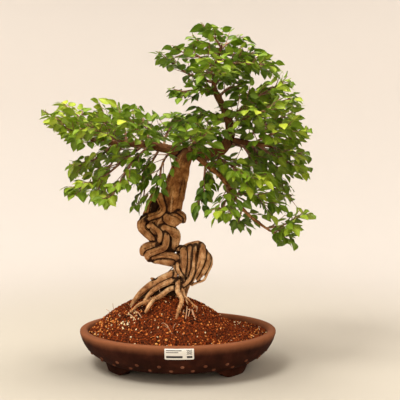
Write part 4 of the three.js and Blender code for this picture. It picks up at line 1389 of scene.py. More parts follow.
@dataclass
class Foliage:
    """The leafy sprays: their stems with the solids' leaves, and many leafy twigs between these."""

    wood: list[Limb]
    length: Pair = (22, 30)
    width_ratio: float = 0.57
    clearance: float = 2.4
    spacing: float = 18
    attempts: int = 12
    bare: float = 0.3
    last: float = 0.94
    tip: float = 0.99
    turn: float = 1.05
    spread: float = 0.3
    outward: float = 0.25
    droop: Pair = (0.2, 0.95)
    roll: float = 0.85
    axis: Pair = (30, 0)
    seed: int = 38
    twig_spacing: float = 7.0
    twig_reach: Pair = (0.12, 0.86)
    twig_fan: tuple[float, ...] = (0.0, 0.5, -0.5)
    twig_length: Pair = (24, 50)
    twig_shortening: float = 0.35
    twig_turn: Pair = (0.5, 1.3)
    twig_lift: Pair = (-0.6, 0.65)
    twig_nodes: tuple[float, ...] = (0.2, 0.4, 0.6, 0.8)
    twig_attempts: int = 12
    twig_enough: int = 4
    twig_radii: tuple[float, ...] = (0.95, 0.75, 0.5)
    twig_leaf_size: Pair = (0.75, 1)
    twig_leaf_turn: Pair = (0.8, 1.15)
    twig_leaf_droop: Pair = (0.0, 0.8)
    twig_leaf_roll: float = 0.6
    close: float = 0.7
    stalk_radius: float = 0.42
    stalk_end: Pair = (0.05, 0.03)
    tint_least: float = 0.1
    tint_outer: float = 0.42
    tint_top_light: float = 0.2
    tint_reach: float = 210
    tint_depth: float = 1.6
    tint_height: float = 300
    tint_spread: Pair = (-0.22, 0.24)
    stem_tube: Pair = (7, 6)
    twig_tube: Pair = (5, 7)
    stalk_tube: Pair = (3, 9)

    def __post_init__(self) -> None:
        """Lays out the stems."""
        self.stems = [Limb.along(route) for route in SPRAY_ROUTES]
        self.stem_beads = [beads_of(stem) for stem in self.stems]
        self.wood_beads = np.vstack([beads_of(limb) for limb in self.wood])
        self.crown = Crown()
        self.leaves: list[list[Leaf]] = [[] for _ in self.stems]
        self.twigs: list[list[Twig]] = [[] for _ in self.stems]
        self.stream = Stream(self.seed)

    def _outward(self, point: Array) -> Array:
        """Gives the level direction away from the crown's axis."""
        return unit(np.array([point[0] - self.axis[0], point[1] - self.axis[1], 0.0]))

    @staticmethod
    def _site(stem: Limb, part: float, turn: float, heading: float | None = None) -> Site:
        """Gives the site at a share of a stem's length, with its heading there or at another share."""
        return Site(stem.point(part)[0], stem.heading(part if heading is None else heading)[0], turn, part)

    def _stem_leaf(self, site: Site) -> Leaf:
        """Draws a leaf on a stem, pointing away from it, outward and down."""
        draw = self.stream.draw
        length = draw(*self.length)
        angle = site.turn + draw(-self.spread, self.spread)
        along = turned(site.heading, UP, angle) + self._outward(site.point) * self.outward
        along = unit(along - UP * draw(*self.droop))
        across = turned(unit(np.cross(UP, along)), along, draw(-self.roll, self.roll))
        return Leaf(site.point, along, across, length, length * self.width_ratio)

    def _stem_leaves(self, index: int) -> None:
        """Grows the leaves that stand straight on a stem, as the solids have them."""
        stem = self.stems[index]
        others = [beads for k, beads in enumerate(self.stem_beads) if k != index]
        beads = np.vstack([self.wood_beads, *others])
        count = math.floor(stem.length * (1 - self.bare) / self.spacing + 0.5)
        sites = [self._site(stem, self.tip, 0.0, 1.0)]
        for i in range(count):
            part = self.bare + (self.last - self.bare) * i / count
            sites.append(self._site(stem, part, self.turn * (-1) ** i))
        for site in sites:
            for _ in range(self.attempts):
                leaf = self._stem_leaf(site)
                if within_crown(leaf.reach) and not self.crown.crosses(leaf, beads, self.clearance):
                    self.crown.add(leaf)
                    self.leaves[index].append(leaf)
                    break

    def _twig_leaf(self, twig: Twig, part: float, side: int) -> Leaf:
        """Draws a leaf on a twig.

        Args:
            twig: The twig.
            part: The share of its length where the leaf grows.
            side: The side that it grows on, 1 or -1, or 0 at the tip.

        Returns:
            The leaf.
        """
        draw = self.stream.draw
        length = draw(*self.length) * draw(*self.twig_leaf_size)
        along = turned(twig.along, twig.face, side * draw(*self.twig_leaf_turn))
        along = unit(along - UP * draw(*self.twig_leaf_droop))
        roll = draw(-self.twig_leaf_roll, self.twig_leaf_roll)
        across = turned(unit(np.cross(twig.face, along)), along, roll)
        root = twig.root + twig.along * part * twig.length
        return Leaf(root, along, across, length, length * self.width_ratio)

    def _twig(self, site: Site) -> Twig:
        """Draws a bare twig as it might grow at a site."""
        draw = self.stream.draw
        along = turned(site.heading, UP, site.turn * draw(*self.twig_turn))
        along = unit(along + self._outward(site.point) * self.outward + UP * draw(*self.twig_lift))
        length = draw(*self.twig_length) * (1 - self.twig_shortening * site.part)
        across = turned(unit(np.cross(UP, along)), along, draw(-self.twig_leaf_roll, self.twig_leaf_roll))
        return Twig(site.point, along, across, length)

    def _twig_leaves(self, twig: Twig, beads: Array) -> list[Leaf]:
        """Grows the leaves of a twig that find room.

        Args:
            twig: The twig.
            beads: The limbs to stay clear of.

        Returns:
            The leaves.
        """
        leaves: list[Leaf] = []
        for part, side in [(1.0, 0), *((part, (-1) ** i) for i, part in enumerate(self.twig_nodes))]:
            leaf = self._twig_leaf(twig, part, side)
            if not within_crown(leaf.reach) or self.crown.crosses(leaf, beads, self.close):
                continue
            sisters = np.array([sister.row for sister in leaves]).reshape(-1, Leaf.NUMBERS)
            if not Crown.meet(sisters, leaf, self.close / 2):
                leaves.append(leaf)
        return leaves

    def _best_twig(self, site: Site, beads: Array) -> Twig | None:
        """Draws twigs at a site until one has leaves enough, and gives the leafiest.

        Args:
            site: The site.
            beads: The limbs to stay clear of.

        Returns:
            The twig, or none if each would pass through a leaf.
        """
        best: Twig | None = None
        for _ in range(self.twig_attempts):
            twig = self._twig(site)
            if self.crown.crossed_by(twig.beads):
                continue
            twig.leaves = self._twig_leaves(twig, beads)
            if best is None or len(twig.leaves) > len(best.leaves):
                best = twig
            if len(best.leaves) >= self.twig_enough:
                break
        return best

    def _more_twigs(self, index: int) -> None:
        """Grows leafy twigs along a stem and at its tip."""
        stem = self.stems[index]
        beads = np.vstack([self.wood_beads, *self.stem_beads])
        count = max(3, round(stem.length / self.twig_spacing))
        low, span = self.twig_reach
        sites = [self._site(stem, 1.0, turn) for turn in self.twig_fan]
        sites += [self._site(stem, low + span * i / count, (-1) ** i) for i in range(count)]
        for site in sites:
            best = self._best_twig(site, beads)
            if best is not None and best.leaves:
                for leaf in best.leaves:
                    self.crown.add(leaf)
                self.twigs[index].append(best)

    def grow(self) -> None:
        """Grows every leaf, first those of the solids and then those on twigs."""
        for kind, step in (("on stems", self._stem_leaves), ("in all", self._more_twigs)):
            for index in range(len(self.stems)):
                step(index)
            LOG.info("leaves %s: %d", kind, self.crown.count)

    def _tint(self, leaf: Leaf) -> float:
        """Gives a leaf's colour from 0, old and dark, to 1, young and lime, which high and outer ones are; it
        is partly painted light and shade.
        """
        tip = leaf.root + leaf.along * leaf.length
        sideways = math.hypot(tip[0] - self.axis[0], tip[1] * self.tint_depth) / self.tint_reach
        high = (tip[2] - self.tint_height) / self.tint_height
        # Partly painted light and shade: paler high up, where the light from above falls, and darker deep in
        # the crown, where shade lies.
        tint = self.tint_least + self.tint_outer * sideways + self.tint_top_light * high
        return float(np.clip(tint + self.stream.draw(*self.tint_spread), 0, 1))

    def _twig_limb(self, twig: Twig) -> Limb:
        """Gives a twig a slight wave and a taper, as far as its outermost leaf."""
        draw = self.stream.draw
        outermost = max(float((leaf.root - twig.root) @ twig.along) for leaf in twig.leaves)
        end = twig.root + twig.along * (outermost + 0.5)
        middle = (twig.root + end) / 2 + np.array([draw(-0.5, 0.5), draw(-0.5, 0.5), draw(-0.4, 0.4)])
        return Limb(np.array([twig.root, middle, end]), self.twig_radii)

    def _stalk(self, leaf: Leaf) -> Limb:
        """Gives the stalk that runs from a leaf's root to a little way along its blade."""
        further, lift = self.stalk_end
        end = leaf.root + leaf.along * leaf.length * (Blade.START + further)
        end = end + leaf.face * leaf.length * lift
        return Limb(np.array([leaf.root, (leaf.root + end) / 2, end]), [self.stalk_radius] * 3)

    def build(self) -> None:
        """Makes a piece for each spray."""
        blade = Blade()
        materials = [TwigFinish().material(), LeafFinish().material()]
        numbers = {"along": blade.parts, "side": blade.sides * 2, "under": blade.under}
        for index, stem in enumerate(self.stems):
            shape = Shape()
            shape.add(*tube(stem, *self.stem_tube))
            for twig in self.twigs[index]:
                shape.add(*tube(self._twig_limb(twig), *self.twig_tube))
            for leaf in [*self.leaves[index], *(leaf for twig in self.twigs[index] for leaf in twig.leaves)]:
                shape.add(*tube(self._stalk(leaf), *self.stalk_tube))
                points = blade.points(leaf, self.stream.draw(0, 6.3))
                shape.add(points, blade.faces, 1, tint=self._tint(leaf), **numbers)
            number = f"{index + 1:02d}"
            handed_over(shape.build(f"leafy_spray_{number}", materials), "leaf", f"spray_{number}")


# The pot and the soil


class Wall(Enum):
    """The pot's outer or inner wall, as [reach, height] points from the bottom up."""

    OUTER = ((134, 14), (156, 28), (169, 44), (174.6, 58), (175.6, 63), (172.5, 67))
    INNER = ((132, 22), (153, 42), (160.5, 60))

    def reach(self, height: float) -> float:
        """Gives the wall's reach at a height."""
        return float(np.interp(height, [p[1] for p in self.value], [p[0] for p in self.value]))


def yawed(points: Array) -> Array:
    """Turns points with the pot."""
    cos, sin = math.cos(POT_YAW), math.sin(POT_YAW)
    return points @ np.array([[cos, sin, 0], [-sin, cos, 0], [0, 0, 1]])


def on_oval(shares: Array) -> Array:
    """Gives the points at shares of the way round the pot's oval, for a reach of 1."""
    steps = 720
    angles = np.linspace(0, 2 * math.pi, steps + 1)
    ring = np.column_stack([np.cos(angles), np.sin(angles) * POT_RATIO])
    way = np.concatenate([[0], np.cumsum(np.linalg.norm(np.diff(ring, axis=0), axis=1))])
    at = np.interp(np.mod(shares, 1.0) * way[-1], way, angles)
    return np.column_stack([np.cos(at), np.sin(at) * POT_RATIO])


def box_grid(counts: tuple[int, int, int]) -> tuple[Array, Faces]:
    """Makes the skin of a unit cube, cut in a grid.

    Args:
        counts: How many cells it has each way.

    Returns:
        Its points, from -0.5 to 0.5, and its faces.
    """
    numbers: dict[tuple[int, ...], int] = {}
    faces = []
    for axis in range(3):
        a, b = (axis + 1) % 3, (axis + 2) % 3
        for end in (0, counts[axis]):
            for i in range(counts[a]):
                for j in range(counts[b]):
                    corners = []
                    for di, dj in ((0, 0), (1, 0), (1, 1), (0, 1)):
                        key = [0, 0, 0]
                        key[axis], key[a], key[b] = end, i + di, j + dj
                        corners.append(numbers.setdefault(tuple(key), len(numbers)))
                    faces.append(tuple(corners if end else corners[::-1]))
    points = np.array(list(numbers), dtype=float) / np.array(counts) - 0.5
    return points, faces


class Scatter(Wiring):
    """A node tree that sets copies of a small mesh on points and makes them one mesh."""

    def __init__(self, name: str) -> None:
        """Starts a tree with a mesh in and a mesh out."""
        super().__init__(bpy.data.node_groups.new(name, "GeometryNodeTree"))
        for way in ("INPUT", "OUTPUT"):
            self.tree.interface.new_socket("Geometry", in_out=way, socket_type="NodeSocketGeometry")
        self.inlet = self.tree.nodes.new("NodeGroupInput")
        self.outlet = self.tree.nodes.new("NodeGroupOutput")
        self.sizes: dict[str, float] = {}

    @property
    def mesh(self) -> Signal:
        """The mesh that goes in."""
        return Signal(self, self.inlet.outputs[0])

    def size(self, name: str, value: float) -> Signal:
        """Adds a named input with its value and gives its socket."""
        kind = "NodeSocketInt" if isinstance(value, int) else "NodeSocketFloat"
        self.tree.interface.new_socket(name, in_out="INPUT", socket_type=kind)
        self.sizes[name] = value
        return Signal(self, self.inlet.outputs[name])

    def riding(self, name: str, kind: str) -> Signal:
        """Gives the values of a kind that ride on the mesh under a name."""
        return self.node("GeometryNodeInputNamedAttribute", {"data_type": kind}, {"Name": name}, "Attribute")

    def random(self, low: Any, high: Any, seed: Signal) -> Signal:
        """Draws a vector between two vectors, or a number between two numbers, for each point."""
        kind, first = ("FLOAT_VECTOR", 0) if isinstance(low, tuple) else ("FLOAT", 2)
        values = {first: low, first + 1: high, "Seed": seed}
        return self.node("FunctionNodeRandomValue", {"data_type": kind}, values, first // 2)

    def run(
        self, base: Object, material: Material, points: Signal, piece: Signal, turn: Signal, scale: Signal
    ) -> None:
        """Ends the tree and runs it on an object, which becomes the plain result.

        Args:
            base: The object.
            material: What the copies wear.
            points: The points that they stand on.
            piece: The mesh that is copied.
            turn: How each is turned.
            scale: How each is stretched.
        """
        values = {"Points": points, "Instance": piece, "Rotation": turn, "Scale": scale}
        copies = self.node("GeometryNodeInstanceOnPoints", {}, values)
        plain = self.node("GeometryNodeRealizeInstances", {}, {0: copies})
        dressed = self.node("GeometryNodeSetMaterial", {}, {"Geometry": plain, "Material": material})
        self.tree.links.new(dressed.socket, self.outlet.inputs[0])
        modifier = base.modifiers.new("scatter", "NODES")
        modifier.node_group = self.tree
        for item in self.tree.interface.items_tree:
            if item.name in self.sizes:
                modifier[item.identifier] = self.sizes[item.name]
        applied(base)


@dataclass
class Pot:
    """The oval pot: its wall, four bracket feet, two rows of studs and two drain screens."""

    sides: int = 160
    base: float = 14
    floor: float = 22
    edge: tuple[float, float, int] = (60, 0.6, 2)
    foot_reach: float = 133.4
    foot_thickness: float = 22
    foot_span: float = 0.058
    foot_places: tuple[float, ...] = (0.092, 0.408, 0.592, 0.908)
    foot_block: float = 0.36
    foot_taper: float = 2.5
    foot_sunk: float = 2
    foot_cells: tuple[int, int, int] = (30, 5, 6)
    foot_edge: tuple[float, float, int] = (50, 1.2, 3)
    wing_thinning: float = 0.55
    wing_rise: float = 0.93
    drains: tuple[float, ...] = (-58, 58)
    drain_radius: float = 11
    studs: int = 24
    stud_rows: tuple[Pair, ...] = ((32, 0.5), (23, 0))
    stud_radius: float = 3.4
    stud_proud: float = 2.1
    stud_tilt: float = -0.75
    screen_width: float = 32
    screen_lift: float = 0.85
    screen_pitch: float = 3.9
    screen_side_bars: int = 4
    screen_bars: Pair = (1.0, 1.6)
    screen_heights: Pair = (1, 0.94)

    PROFILE = (
        (60, 14), (120, 14), (131, 14.1), (135.5, 15), (145, 20.2), (156, 28), (163.6, 35.6), (169, 44),
        (172.4, 51), (174.4, 57.5), (175.5, 60.5), (175.8, 63), (175.4, 65.2), (173.9, 66.6), (171.5, 67.1),
        (166, 67.1), (163.6, 66.4), (162.2, 64.6), (160.6, 60), (157.6, 51.5), (153, 42), (144, 31),
        (132, 22), (60, 22),
    )

    def _wall(self, clay: Material) -> Object:
        """Turns the wall's section round the oval, cuts the drain holes and softens the edges."""
        ways = [(math.cos(a), math.sin(a)) for a in all_round(self.sides)]
        points = [[r * x, r * y * POT_RATIO, z] for r, z in self.PROFILE for x, y in ways]
        points += [[0, 0, self.base], [0, 0, self.floor]]
        shape = Shape()
        shape.add(yawed(np.array(points)), closed_faces(len(self.PROFILE), self.sides))
        wall = shape.build("pot_body", [clay])
        for x in self.drains:
            self._bore(wall, x)
        shade(bevelled(wall, *self.edge).data)
        return wall

    def _bore(self, wall: Object, x: float) -> None:
        """Cuts one drain hole through the floor."""
        bit = Shape()
        middle = yawed(np.array([[x, 0, 0], [x, 0, 40], [x, 0, 60]]))
        bit.add(*tube(Limb(middle, [self.drain_radius] * 3), 32, 20))
        cutter = bit.build("bit", [])
        cut = wall.modifiers.new("bore", "BOOLEAN")
        cut.operation = "DIFFERENCE"
        cut.solver = "EXACT"
        cut.object = cutter
        applied(wall)
        bpy.data.objects.remove(cutter)

    def _feet(self) -> Shape:
        """Bends four blocks to the pot's edge, each with a wing either way."""
        shape = Shape()
        cube, faces = box_grid(self.foot_cells)
        for share in self.foot_places:
            wing = np.clip((np.abs(cube[:, 0]) * 2 - self.foot_block) / (1 - self.foot_block), 0, 1)
            wing = wing * wing * (3 - 2 * wing)
            depth = 0.5 - cube[:, 1]
            inset = self.foot_thickness * (1 - self.wing_thinning * wing) * depth
            level = cube[:, 2] + 0.5
            taper = self.foot_taper * (1 - level) * (1 - depth)
            reach = self.foot_reach - inset - taper
            ring = on_oval(share - cube[:, 0] * 2 * self.foot_span)
            low = self.base * wing * self.wing_rise
            height = low + (self.base + self.foot_sunk - low) * level
            points = np.column_stack([ring * reach[:, None], height])
            shape.add(yawed(points), faces)
        return shape

    def _studs(self, material: Material) -> Object:
        """Sets low round studs in two rows on the lower wall."""
        places, outs = [], []
        for level, shift in self.stud_rows:
            shares = (np.arange(self.studs) + shift) / self.studs
            ring = on_oval(shares) * Wall.OUTER.reach(level)
            places.append(np.column_stack([ring, np.full(self.studs, level)]))
            out = unit(np.column_stack([ring[:, 0], ring[:, 1] / POT_RATIO**2]))
            outs.append(unit(np.column_stack([out, np.full(self.studs, self.stud_tilt)])))
        shape = Shape()
        shape.add(yawed(np.vstack(places)), [])
        base = shape.build("pot_studs", [])
        facing = base.data.attributes.new("facing", "FLOAT_VECTOR", "POINT")
        facing.data.foreach_set("vector", yawed(np.vstack(outs)).ravel())
        rows = Scatter("stud rows")
        radius = rows.size("Stud radius", self.stud_radius * MM)
        proud = rows.size("Stud height", self.stud_proud * MM)
        dome = rows.node("GeometryNodeMeshUVSphere", {}, {"Segments": 18, "Rings": 10, "Radius": radius})
        scale = rows.node("ShaderNodeCombineXYZ", {}, {"X": 1.0, "Y": 1.0, "Z": proud / radius})
        vector = {"Vector": rows.riding("facing", "FLOAT_VECTOR")}
        turn = rows.node("FunctionNodeAlignRotationToVector", {"axis": "Z"}, vector)
        rows.run(base, material, rows.mesh, dome, turn, scale)
        shade(base.data)
        return base

    def _screen(self, x: float) -> Shape:
        """Crosses two rows of bars inside a square frame."""
        shape = Shape()
        cube, faces = box_grid((1, 1, 1))
        level, span = self.floor + self.screen_lift, self.screen_width
        upper, lower = self.screen_heights
        last = self.screen_side_bars
        for k in range(-last, last + 1):
            thick, off = self.screen_bars[abs(k) == last], self.screen_pitch * k
            for size, place in (((span, thick, upper), (0, off)), ((thick, span, lower), (off, 0))):
                points = cube * np.array(size) + np.array([x + place[0], place[1], level])
                shape.add(yawed(points), faces)
        return shape

    def build(self) -> None:
        """Makes the pot's pieces."""
        clay = ClayFinish().material()
        handed_over(self._wall(clay), "clay", "pot")
        handed_over(bevelled(self._feet().build("pot_feet", [clay]), *self.foot_edge), "clay")
        paler_clay = ClayFinish("stud_clay", srgb(84, 46, 32), srgb(112, 68, 50), srgb(146, 98, 76))
        handed_over(self._studs(paler_clay.material()), "clay")
        mesh_finish = PlainFinish("drain_screen", srgb(40, 44, 46), 0.55).material()
        for i, x in enumerate(self.drains):
            screen = self._screen(x).build(f"screen_{i + 1}", [mesh_finish], smooth=False)
            handed_over(screen, "screen", f"drain_screen_{i + 1}")


@dataclass
class Label:
    """The small white plate on the pot's front, curved with the wall, with rounded corners."""

    width: float = 46
    low: float = 46.5
    high: float = 65
    centre: float = 14.6
    thickness: float = 0.6
    corner: float = 1.8
    gap: float = 0.45
    shape_ratio: float = 3.6
    cells: tuple[int, int, int] = (46, 1, 18)
    edge: Pair = (50, 0.15)

    def _rounded(self, across: Array, level: Array) -> tuple[Array, Array]:
        """Rounds the corners of the label's flat shape.

        Args:
            across: How far each point is from the middle, sideways.
            level: How far each is from the middle, upwards.

        Returns:
            The two again, with the points at the corners drawn in.
        """
        straight = self.width / 2 - self.corner, (self.high - self.low) / 2 - self.corner
        flat = np.abs(across), np.abs(level)
        over = [way - reach for way, reach in zip(flat, straight)]
        in_corner = (over[0] > 0) & (over[1] > 0)
        distance = np.hypot(np.maximum(over[0], 0), np.maximum(over[1], 0))
        pull = np.where(in_corner & (distance > self.corner), self.corner / np.maximum(distance, 1e-6), 1.0)
        drawn = [np.where(in_corner, straight[k] + over[k] * pull, flat[k]) for k in (0, 1)]
        return np.sign(across) * drawn[0], np.sign(level) * drawn[1]

    def build(self) -> None:
        """Makes the piece."""
        cube, faces = box_grid(self.cells)
        x, z = self._rounded(cube[:, 0] * self.width, cube[:, 2] * (self.high - self.low))
        z = z + (self.low + self.high) / 2
        reach = np.array([Wall.OUTER.reach(h) for h in z]) + self.gap + self.thickness / 2
        reach = reach - cube[:, 1] * self.thickness
        place = x + self.centre
        out = np.sqrt(1 - (place / reach) ** 2) * reach * POT_RATIO
        shape = Shape()
        numbers = {"label_u": (cube[:, 0] + 0.5) * self.shape_ratio, "label_v": cube[:, 2] + 0.5}
        shape.add(yawed(np.column_stack([place, -out, z])), faces, **numbers)
        plate = shape.build("label_plate", [LabelFinish().material()])
        handed_over(bevelled(plate, *self.edge), "label", "label")


@dataclass(frozen=True)
class Grains:
    """Granules of one colour: how many lie on a square metre, their radii, and where, if not all over."""

    name: str
    low: Colour
    high: Colour
    count: float
    size: Pair
    seed: int
    spots: Spots = ()

    SQUASH = ((0.7, 0.75, 0.6), (1.3, 1.2, 1.0))
    FULL_TURN = 6.28

    def scatter(self, base: Object) -> None:
        """Scatters them on an object that has their name, which becomes the piece."""
        rule = Scatter(base.name)
        low, high = (rule.size(f"{kind} radius", r * MM) for kind, r in zip(("Least", "Greatest"), self.size))
        density, seed = rule.size("Grains a square metre", float(self.count)), rule.size("Seed", self.seed)
        values = {"Mesh": rule.mesh, "Density": density * rule.riding("thickness", "FLOAT"), "Seed": seed}
        points = rule.node("GeometryNodeDistributePointsOnFaces", {}, values, "Points")
        grain = rule.node("GeometryNodeMeshIcoSphere", {}, {"Radius": 1.0, "Subdivisions": 1}, "Mesh")
        turn = rule.random((0.0,) * 3, (self.FULL_TURN,) * 3, seed)
        squash = rule.random(*self.SQUASH, seed)
        scaled = {0: squash, "Scale": rule.random(low, high, seed)}
        scale = rule.node("ShaderNodeVectorMath", {"operation": "SCALE"}, scaled)
        finish = GrainFinish(f"grain_{self.name}", self.low, self.high)
        rule.run(base, finish.material(), points, grain, turn, scale)
        handed_over(base, "soil")


@dataclass
class Soil:
    """The mound of granules round the roots."""

    edge_height: float = 58.5
    rise: float = 64
    grain: float = 1.4
    middle: Pair = (-30, 8)
    reach: Triple = (130, 134, 132)
    bump: float = 0.7
    bump_size: float = 4.0
    base: float = 42
    wall_gap: float = 0.55
    rings: int = 56
    sides: int = 150
    seed: int = 5

    PALE_SPOTS = ((-68, -34, 12), (-76, -48, 14), (-86, -60, 13), (-78, -74, 12), (26, -66, 8), (112, 74, 12))
    # Where the near-black gap granules lie: painted shadow in the hollows under and between the roots.
    SHADOW_SPOTS = ((-66, -44, 12), (-76, -60, 11), (22, -50, 11), (28, -60, 8), (8, -34, 8), (-56, -52, 10))
    AMBER_SPOTS = (
        (-138, -6, 18), (-122, -52, 16), (-104, -86, 12), (-24, -108, 12), (36, -112, 12), (140, 6, 16),
        (130, -30, 12),
    )
    GRAINS = (
        Grains("rust", srgb(74, 26, 9), srgb(156, 70, 27), 70000, (1.2, 2.3), 11),
        Grains("orange", srgb(190, 96, 36), srgb(232, 156, 84), 9500, (1.1, 2.3), 12),
        Grains("dark", srgb(28, 12, 6), srgb(70, 32, 16), 30000, (1.1, 2.0), 13),
        Grains("cream", srgb(196, 158, 108), srgb(250, 234, 196), 2600, (1.0, 1.9), 14),
        Grains("husk", srgb(216, 180, 120), srgb(255, 242, 206), 22000, (1.0, 2.6), 15, PALE_SPOTS),
        # Painted shadow: near-black granules, laid thickly in the hollows where shade falls.
        Grains("gap", srgb(14, 8, 5), srgb(40, 22, 12), 60000, (1.4, 2.4), 16, SHADOW_SPOTS),
        Grains("amber", srgb(206, 124, 52), srgb(244, 190, 112), 8500, (1.5, 2.9), 17, AMBER_SPOTS),
    )

    def height(self, x: Array, y: Array) -> Array:
        """Gives the mound's height at a place that is turned with the pot."""
        left, right, depth = self.reach
        across = (x - self.middle[0]) / np.where(x < self.middle[0], left, right)
        back = (y - self.middle[1]) / depth
        mound = np.maximum(0, 1 - across * across - back * back)
        ripple = np.sin(x * 0.31 + y * 0.17) * np.cos(y * 0.29 - x * 0.13) * self.grain
        return self.edge_height + self.rise * mound + ripple * np.minimum(1, mound * 6 + 0.2)

    @staticmethod
    def _thickness(x: Array, y: Array, spots: Spots) -> Array:
        """Gives how thickly granules lie at each point, from 0 to 1.

        Args:
            x: How far right each point is.
            y: How far back each point is.
            spots: The middle and radius of each place where they lie, or none if they lie all over.

        Returns:
            The share for each point.
        """
        if not spots:
            return np.ones(len(x))
        shares = [np.exp(-(((x - a) ** 2 + (y - b) ** 2) / radius**2)) for a, b, radius in spots]
        return np.clip(np.sum(shares, axis=0) * 1.3 - 0.15, 0, 1)

    def _surface(self, closed: bool, spots: Spots = ()) -> Shape:
        """Lays out the mound's top.

        Args:
            closed: Whether it has walls and a base.
            spots: The places where granules lie on it, if not all over.

        Returns:
            The mound, with how thickly they lie riding on its points.
        """
        reach = Wall.INNER.reach(self.edge_height) - self.wall_gap
        shares, angles = np.linspace(0, 1, self.rings + 1)[1:], all_round(self.sides)
        x = (reach * shares[:, None] * np.cos(angles)).ravel()
        y = (reach * shares[:, None] * np.sin(angles) * POT_RATIO).ravel()
        places = [Vector((a / self.bump_size, b / self.bump_size, self.seed)) for a, b in zip(x, y)]
        bumps = np.array([noise.noise(place) for place in places])
        z = self.height(x, y) + self.bump * bumps * (np.repeat(shares, self.sides) < 0.99)
        top = float(self.height(np.zeros(1), np.zeros(1))[0])
        points = [*np.column_stack([x, y, z]), np.array([0, 0, top])]
        n, last = self.sides, (self.rings - 1) * self.sides
        faces: Faces = [(len(points) - 1, k, (k + 1) % n) for k in range(n)]
        faces += band_faces(self.rings, n, reverse=True)
        if closed:
            foot = len(points)
            low = Wall.INNER.reach(self.base) - self.wall_gap
            ring = [(low * math.cos(a), low * math.sin(a) * POT_RATIO) for a in angles]
            points += [np.array([*place, self.base]) for place in (*ring, (0, 0))]
            for k in range(n):
                m = (k + 1) % n
                faces += [(last + k, foot + k, foot + m, last + m), (foot + n, foot + m, foot + k)]
        shape = Shape()
        place = np.array(points)
        shape.add(yawed(place), faces, thickness=self._thickness(place[:, 0], place[:, 1], spots))
        return shape

    def build(self) -> None:
        """Makes the bed and its granules."""
        bed = self._surface(closed=True).build("soil_bed", [SoilFinish().material()])
        handed_over(bed, "soil", "soil")
        for grains in self.GRAINS:
            grains.scatter(self._surface(closed=False, spots=grains.spots).build(f"grains_{grains.name}", []))


@dataclass
class Strands:
    """Thin round strands that stand out of the granules, as one piece."""

    name: str
    routes: Sequence[Route]
    sides: int
    section: float
    finish: PlainFinish
    slot: str
    nodes: tuple[str, ...] = ()

    def build(self) -> None:
        """Makes the piece."""
        shape = Shape()
        for route in self.routes:
            shape.add(*tube(Limb.along(route), self.sides, self.section))
        handed_over(shape.build(self.name, [self.finish.material()]), self.slot, *self.nodes)


# Thin pale roots and broken stubs.
HAIR_ROUTES: list[Route] = [
    [[16.5, 103, -36, 1.1], [15.8, 94, -50, 1.1], [14, 81, -65, 0.9]],
    [[10.7, 97, -46, 0.9], [8.9, 86, -61, 0.8]],
    [[22, 98, -41, 1], [18.7, 85, -58, 0.8]],
    [[25.7, 97, -39, 1.6], [28, 88, -50, 1.6], [31.5, 79, -59, 1.3]],
    [[27, 98, -31, 0.7], [31, 104, -32, 0.7], [34.5, 102, -33, 0.7], [33, 91, -39, 0.7]],
    [[12, 111, -12, 0.45], [14, 119, -14, 0.4], [16, 126, -15, 0.35]],
    [[15, 110, -13, 0.45], [18, 118, -15, 0.4], [23, 119, -16, 0.35]],
    [[-31, 71, -83, 0.5], [-27, 73.5, -84, 0.5], [-22, 71, -86, 0.5], [-16, 62, -91, 0.45]],
    [[-24, 71, -83, 0.5], [-19, 68.5, -88, 0.5], [-13, 56, -96, 0.4]],
    [[-3, 72, -80, 0.45], [-6, 70, -85, 0.45], [-9, 62, -90, 0.35]],
    [[-27, 68.5, -86, 0.45], [-18, 64, -91, 0.45], [-10, 53, -98, 0.35]],
    [[-114, 92, -11, 0.5], [-117, 101, -12, 0.45], [-118, 109, -13, 0.35]],
    [[-122, 90, -10, 0.4], [-125, 95, -11, 0.35], [-130, 98, -12, 0.3]],
    [[-35, 139, -22, 0.5], [-34, 134, -28, 0.45], [-32, 128, -33, 0.4]],
    [[-92, 88, -50, 0.9], [-86, 88, -56, 1.1], [-80, 81, -66, 0.9]],
    [[-78, 95, -50, 0.8], [-72, 92, -56, 0.9], [-66, 83, -68, 0.8]],
]
HAIR_FINISH = PlainFinish("root_hair", srgb(190, 146, 110), 0.8)
HAIR_ROOTS = Strands("hair_roots", HAIR_ROUTES, 6, 1.5, HAIR_FINISH, "wood")

# The anchor wire that comes out of the soil behind the roots.
WIRE_ROUTE: Route = [[-46, 104, 26, 0.9], [-36, 137, 22, 0.9], [-22, 160, 18, 0.9], [-8, 175, 14, 0.9]]
WIRE_FINISH = PlainFinish("anchor_wire", srgb(34, 32, 31), 0.45, 0.5)
TIE_WIRE = Strands("anchor_wire", [WIRE_ROUTE], 12, 2.5, WIRE_FINISH, "wire", ("tie_wire",))


# The stage


@dataclass(frozen=True)
class Light:
    """A square light that looks at the tree."""

    name: str
    place: Triple
    size: float
    power: float
    tone: Colour

    TARGET = (0, 0, 0.3)

    def build(self) -> None:
        """Hangs the light."""
        data = bpy.data.lights.new(self.name, "AREA")
        data.size, data.energy, data.color = self.size, self.power, self.tone
        lamp = placed(self.name, data)
        lamp.location = self.place
        way = Vector(self.TARGET) - Vector(self.place)
        lamp.rotation_euler = way.to_track_quat("-Z", "Y").to_euler()


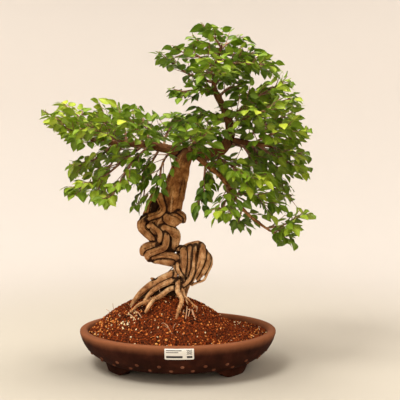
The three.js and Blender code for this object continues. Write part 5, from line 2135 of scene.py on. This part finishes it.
@dataclass
class Studio:
    """A plain pale floor that curves up all round, soft lights and the camera."""

    near: Colour = srgb(184, 176, 162)
    far: Colour = srgb(216, 209, 202)
    fade: Pair = (0.3, 1.5)
    roughness: float = 0.9
    rings: Pair = (0.4, 0.9)
    radius: float = 1.9
    bend: float = 0.9
    bend_steps: int = 12
    wall_height: float = 2.6
    sides: int = 96
    room: Colour = srgb(250, 242, 230)
    room_strength: float = 0.3
    lens: float = 47.5
    sensor: float = 36.0

    LIGHTS = (
        Light("key", (-0.7, -0.75, 1.9), 0.7, 36, (1.0, 0.98, 0.93)),
        Light("fill", (1.2, -1.1, 1.2), 1.0, 5, (1.0, 0.97, 0.94)),
        Light("top", (0.1, 0.1, 2.1), 0.9, 30, (1.0, 0.98, 0.95)),
    )

    def _sweep(self) -> None:
        """Makes the floor and the backdrop all round it in one bowl."""
        section = [(reach, 0.0) for reach in (*self.rings, self.radius - self.bend)]
        for k in range(1, self.bend_steps + 1):
            angle = math.pi / 2 * k / self.bend_steps
            reach = self.radius - self.bend * (1 - math.sin(angle))
            section.append((reach, self.bend * (1 - math.cos(angle))))
        section.append((self.radius, self.wall_height))
        points = [(r * math.cos(a), r * math.sin(a), z) for r, z in section for a in all_round(self.sides)]
        faces = [tuple(range(self.sides)), *band_faces(len(section), self.sides, reverse=True)]
        mesh = bpy.data.meshes.new("floor")
        mesh.from_pydata(points, [], faces)
        shade(mesh)
        g = Graph("floor")
        span = g.node("ShaderNodeVectorMath", {"operation": "LENGTH"}, {0: g.place((1.0, 1.0, 0.0))}, "Value")
        paper = g.mix(span.between(*self.fade), self.near, self.far)
        mesh.materials.append(g.finished(paper, self.roughness))
        placed("floor", mesh)

    def _camera(self) -> None:
        """Sets the camera level, in front of the tree."""
        camera = placed("camera", bpy.data.cameras.new("camera"))
        camera.data.lens, camera.data.sensor_width = self.lens, self.sensor
        camera.location = EYE * MM + pot_middle()
        camera.rotation_euler = Euler((math.pi / 2, 0, 0))
        bpy.context.scene.camera = camera

    def build(self) -> None:
        """Makes the stage."""
        self._sweep()
        for light in self.LIGHTS:
            light.build()
        world = bpy.data.worlds.new("room")
        world.use_nodes = True
        inputs = world.node_tree.nodes["Background"].inputs
        inputs["Color"].default_value = (*self.room, 1)
        inputs["Strength"].default_value = self.room_strength
        bpy.context.scene.world = world
        bpy.context.scene.view_settings.view_transform = "Standard"
        self._camera()


def main() -> None:
    """Builds the bonsai and its stage."""
    logging.basicConfig(level=logging.INFO, format="%(name)s: %(message)s")
    Studio().build()
    Pot().build()
    Label().build()
    Soil().build()
    TIE_WIRE.build()
    HAIR_ROOTS.build()
    limbs = wood_limbs()
    Trunk(limbs).build()
    foliage = Foliage(limbs)
    foliage.grow()
    foliage.build()


if __name__ == "__main__":
    main()
